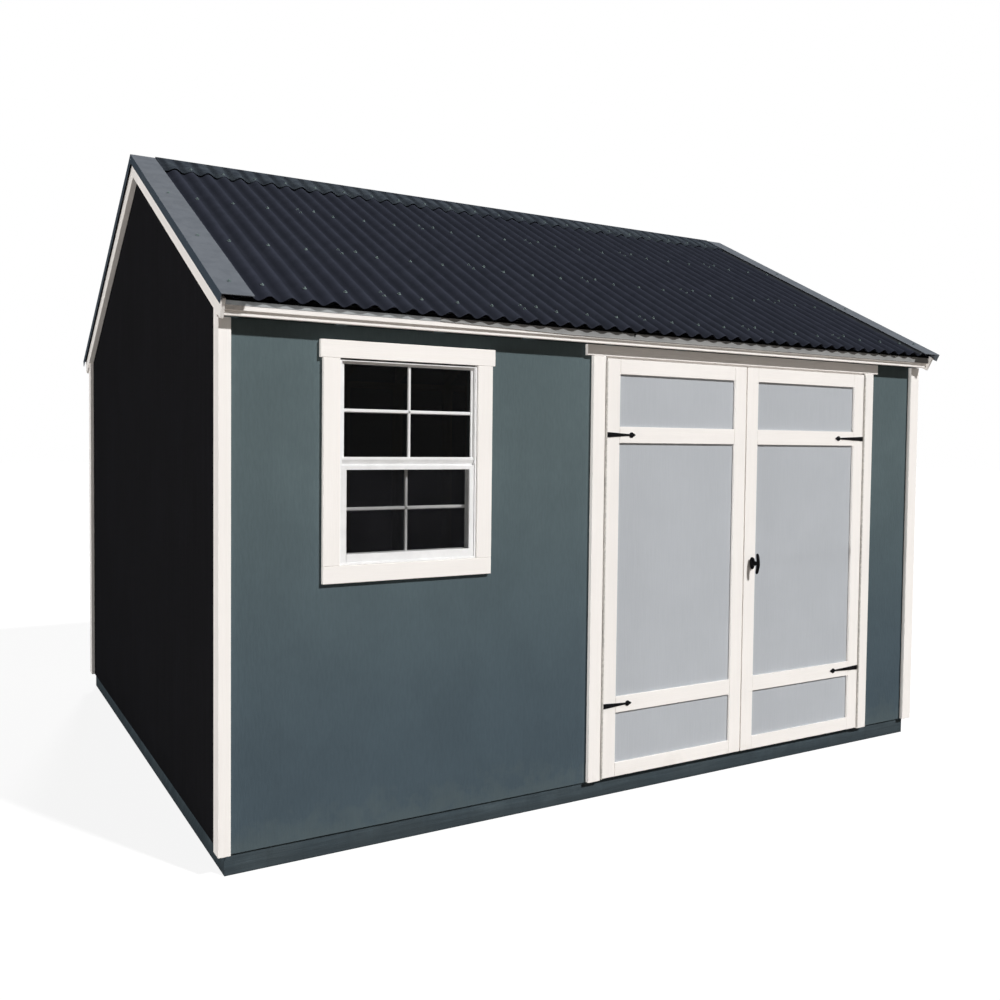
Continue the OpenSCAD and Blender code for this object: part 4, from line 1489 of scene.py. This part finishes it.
@dataclass
class Studio:
    """Pale floor, plain light and the camera."""

    eye: Triple = (-2.6703, -4.8005, 1.5112)
    yaw: float = 0.522915
    tilt: float = -0.0367925
    roll: float = 0.0104569
    sensor: float = 36.0
    lens: float = 34.763
    shift: tuple[float, float] = (0.0132, -0.0207)
    floor_half: float = 60.0
    floor_tint: Triple = (0.16, 0.16, 0.16)
    floor_glow: float = 0.9
    floor_dim: Triple = (0.28, 0.25, 0.225)
    sun_path: Triple = (-0.382, 0.75, -0.69)
    sun_strength: float = 3.6
    sun_spread: float = 2.5
    side_power: float = 1900.0
    side_place: Triple = (-20.0, -2.8, 0.5)
    side_path: Triple = (0.99, 0.1, 0.03)
    side_size: tuple[float, float] = (1.6, 0.7)
    back_path: Triple = (-0.25, -0.9, -0.36)
    back_strength: float = 2.2
    back_spread: float = 8.0
    fill: float = 0.05
    fill_tint: Triple = (1.0, 0.97, 0.94)

    def floor(self) -> None:
        """A wide pale square at ground level, white to the camera with a soft share of shadow."""
        s = self.floor_half
        corners = np.array([(-s, -s, 0), (-s, s, 0), (s, -s, 0), (s, s, 0)])
        item = piece("floor", (corners, [np.array([[0, 2, 3, 1]])]))
        material = bpy.data.materials.new("studio floor")
        material.use_nodes = True
        graph, nodes = Graph(material.node_tree), material.node_tree.nodes
        shader = nodes["Principled BSDF"]
        graph.put(shader, {"Base Color": self.floor_tint, "Roughness": 1.0, "Specular IOR Level": 0.0})
        glow = graph.add("Emission", {"Color": WHITE, "Strength": self.floor_glow})
        both = graph.add("AddShader", {0: shader.outputs[0], 1: glow.outputs[0]})
        dim = graph.add("BsdfDiffuse", {"Color": self.floor_dim})
        pick = graph.add("MixShader", {0: self.seen(graph), 1: dim.outputs[0], 2: both.outputs[0]})
        graph.put(nodes["Material Output"], {0: pick.outputs[0]})
        item.data.materials.append(material)

    @staticmethod
    def seen(graph: Graph) -> Any:
        """Marks the rays that show the background, such as the camera's, before any diffuse bounce.

        Args:
            graph: The graph of the floor's material or of the world.

        Returns:
            A socket with 1 for those rays and 0 for the rest.
        """
        path = graph.add("LightPath").outputs
        some = graph.calc("MAXIMUM", path["Is Camera Ray"], path["Is Glossy Ray"])
        some = graph.calc("MAXIMUM", some, path["Is Transmission Ray"])
        return graph.times(some, graph.calc("LESS_THAN", path["Diffuse Depth"], 0.5))

    def world(self) -> None:
        """White to the camera and to mirrors, a low even fill to the rest."""
        world = bpy.data.worlds.new("studio")
        world.use_nodes = True
        graph = Graph(world.node_tree)
        seen = self.seen(graph)
        graph.put(world.node_tree.nodes["Background"], {
            "Color": graph.mix(seen, self.fill_tint, WHITE),
            "Strength": graph.spread(seen, 0.0, 1.0, self.fill, 1.0)})
        bpy.context.scene.world = world

    def lamp(self, name: str, kind: str, power: float, path: Triple) -> bpy.types.Object:
        """Places one lamp.

        Args:
            name: Name of the lamp.
            kind: SUN or AREA.
            power: Its strength or power.
            path: The direction in which it shines.

        Returns:
            The lamp's object.
        """
        light = bpy.data.lights.new(name, kind)
        light.energy = power
        item = bpy.data.objects.new(name, light)
        item.rotation_euler = Vector(path).to_track_quat("-Z", "Y").to_euler()
        bpy.context.scene.collection.objects.link(item)
        return item

    def lamps(self) -> None:
        """A key sun from the front right, a far low panel on the left and a soft sun from behind."""
        key = self.lamp("key", "SUN", self.sun_strength, self.sun_path)
        key.data.angle = math.radians(self.sun_spread)
        back = self.lamp("back", "SUN", self.back_strength, self.back_path)
        back.data.angle = math.radians(self.back_spread)
        side = self.lamp("side", "AREA", self.side_power, self.side_path)
        side.location, side.data.shape = self.side_place, "RECTANGLE"
        side.data.size, side.data.size_y = self.side_size

    def camera(self) -> None:
        """Places the camera from its yaw, tilt and roll."""
        sy, cy, st, ct = math.sin(self.yaw), math.cos(self.yaw), math.sin(self.tilt), math.cos(self.tilt)
        ahead = Vector((sy * ct, cy * ct, st))
        right = Vector((cy, -sy, 0))
        up = right.cross(ahead)
        cr, sr = math.cos(self.roll), math.sin(self.roll)
        right, up = cr * right + sr * up, -sr * right + cr * up
        lens = bpy.data.cameras.new("camera")
        lens.sensor_width, lens.lens = self.sensor, self.lens
        lens.shift_x, lens.shift_y = self.shift
        item = bpy.data.objects.new("camera", lens)
        turn = Matrix((right, up, -ahead)).transposed().to_4x4()
        item.matrix_world = Matrix.Translation(self.eye) @ turn
        bpy.context.scene.collection.objects.link(item)
        bpy.context.scene.camera = item

    def build(self) -> None:
        """Sets up the floor, the light, the camera and the plain colour view."""
        self.floor()
        self.world()
        self.lamps()
        self.camera()
        bpy.context.scene.view_settings.view_transform = "Standard"


def woodwork() -> list[Woodwork]:
    """The boards and sheets that are dressed from the frame's nodes, in the order of building.

    Returns:
        One entry for each node.
    """
    along, upright, across = Grain.ALONG_BOARD, Grain.UPRIGHT, Grain.ACROSS
    sharp, eased = 0.0, 0.0015
    rows: list[tuple[str, Finish, str, str, Grain, float]] = [
        ("floor_rims", RIM_PAINT, "siding_paint", "root", along, eased),
        ("floor_joists", LUMBER, "frame_lumber", "root", along, sharp),
        ("floor_deck", FLOOR_SHEET, "floor_sheet", "root", across, sharp),
        ("front_siding_left front_siding_right front_siding_head back_siding",
         SIDING, "siding_paint", "root", upright, sharp),
        ("left_gable_siding right_gable_siding", GABLE_SHADE_PAINT, "gable_paint", "root", upright, sharp),
        ("front_studs back_studs gable_studs wall_plates window_framing rafters ridge_board collar_ties "
         "purlins", LUMBER, "frame_lumber", "root", along, sharp),
        ("eave_blocks", SIDING, "siding_paint", "root", along, sharp),
        ("inner_eave_boards outer_eave_boards rake_boards corner_boards side_corner_boards door_trim "
         "window_trim", TRIM, "trim_paint", "root", along, eased),
    ]
    for leaf in ("left_door", "right_door"):
        rows += [(f"{leaf}_panel", DOOR_PANEL, "door_paint", leaf, upright, sharp),
                 (f"{leaf}_boards", TRIM, "trim_paint", leaf, along, eased),
                 (f"{leaf}_ledges", LUMBER, "frame_lumber", leaf, along, eased)]
    return [Woodwork(node, *row) for nodes, *row in rows for node in nodes.split()]


def parts() -> list[Any]:
    """Every sub-assembly, in the order of building.

    Returns:
        Objects with a build method.
    """
    return [
        *woodwork(),
        PlainNodes(("verge_flashings",), FLASHING, "flashing"),
        PlainNodes(("drip_edges",), DRIP, "flashing"),
        PlainNodes(("window_frame", "window_sashes"), WINDOW_COAT, "window_white"),
        PlainNodes(("window_glass",), DARKENED_PANE, "pane"),
        RoofSheets(Side.FRONT), RoofSheets(Side.BACK), RidgeCap(), VergeHems(), DripLaps(), ShadeClosureStrips(),
        RoofScrews(), WindowBars(), WindowLip(), HalfScreen(), DoorStops(), DoorHardware(), Studio(),
    ]


def main() -> None:
    """Builds and dresses the shed."""
    logging.basicConfig(level=logging.INFO, format="%(message)s")
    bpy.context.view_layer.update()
    for part in parts():
        part.build()


if __name__ == "__main__":
    main()
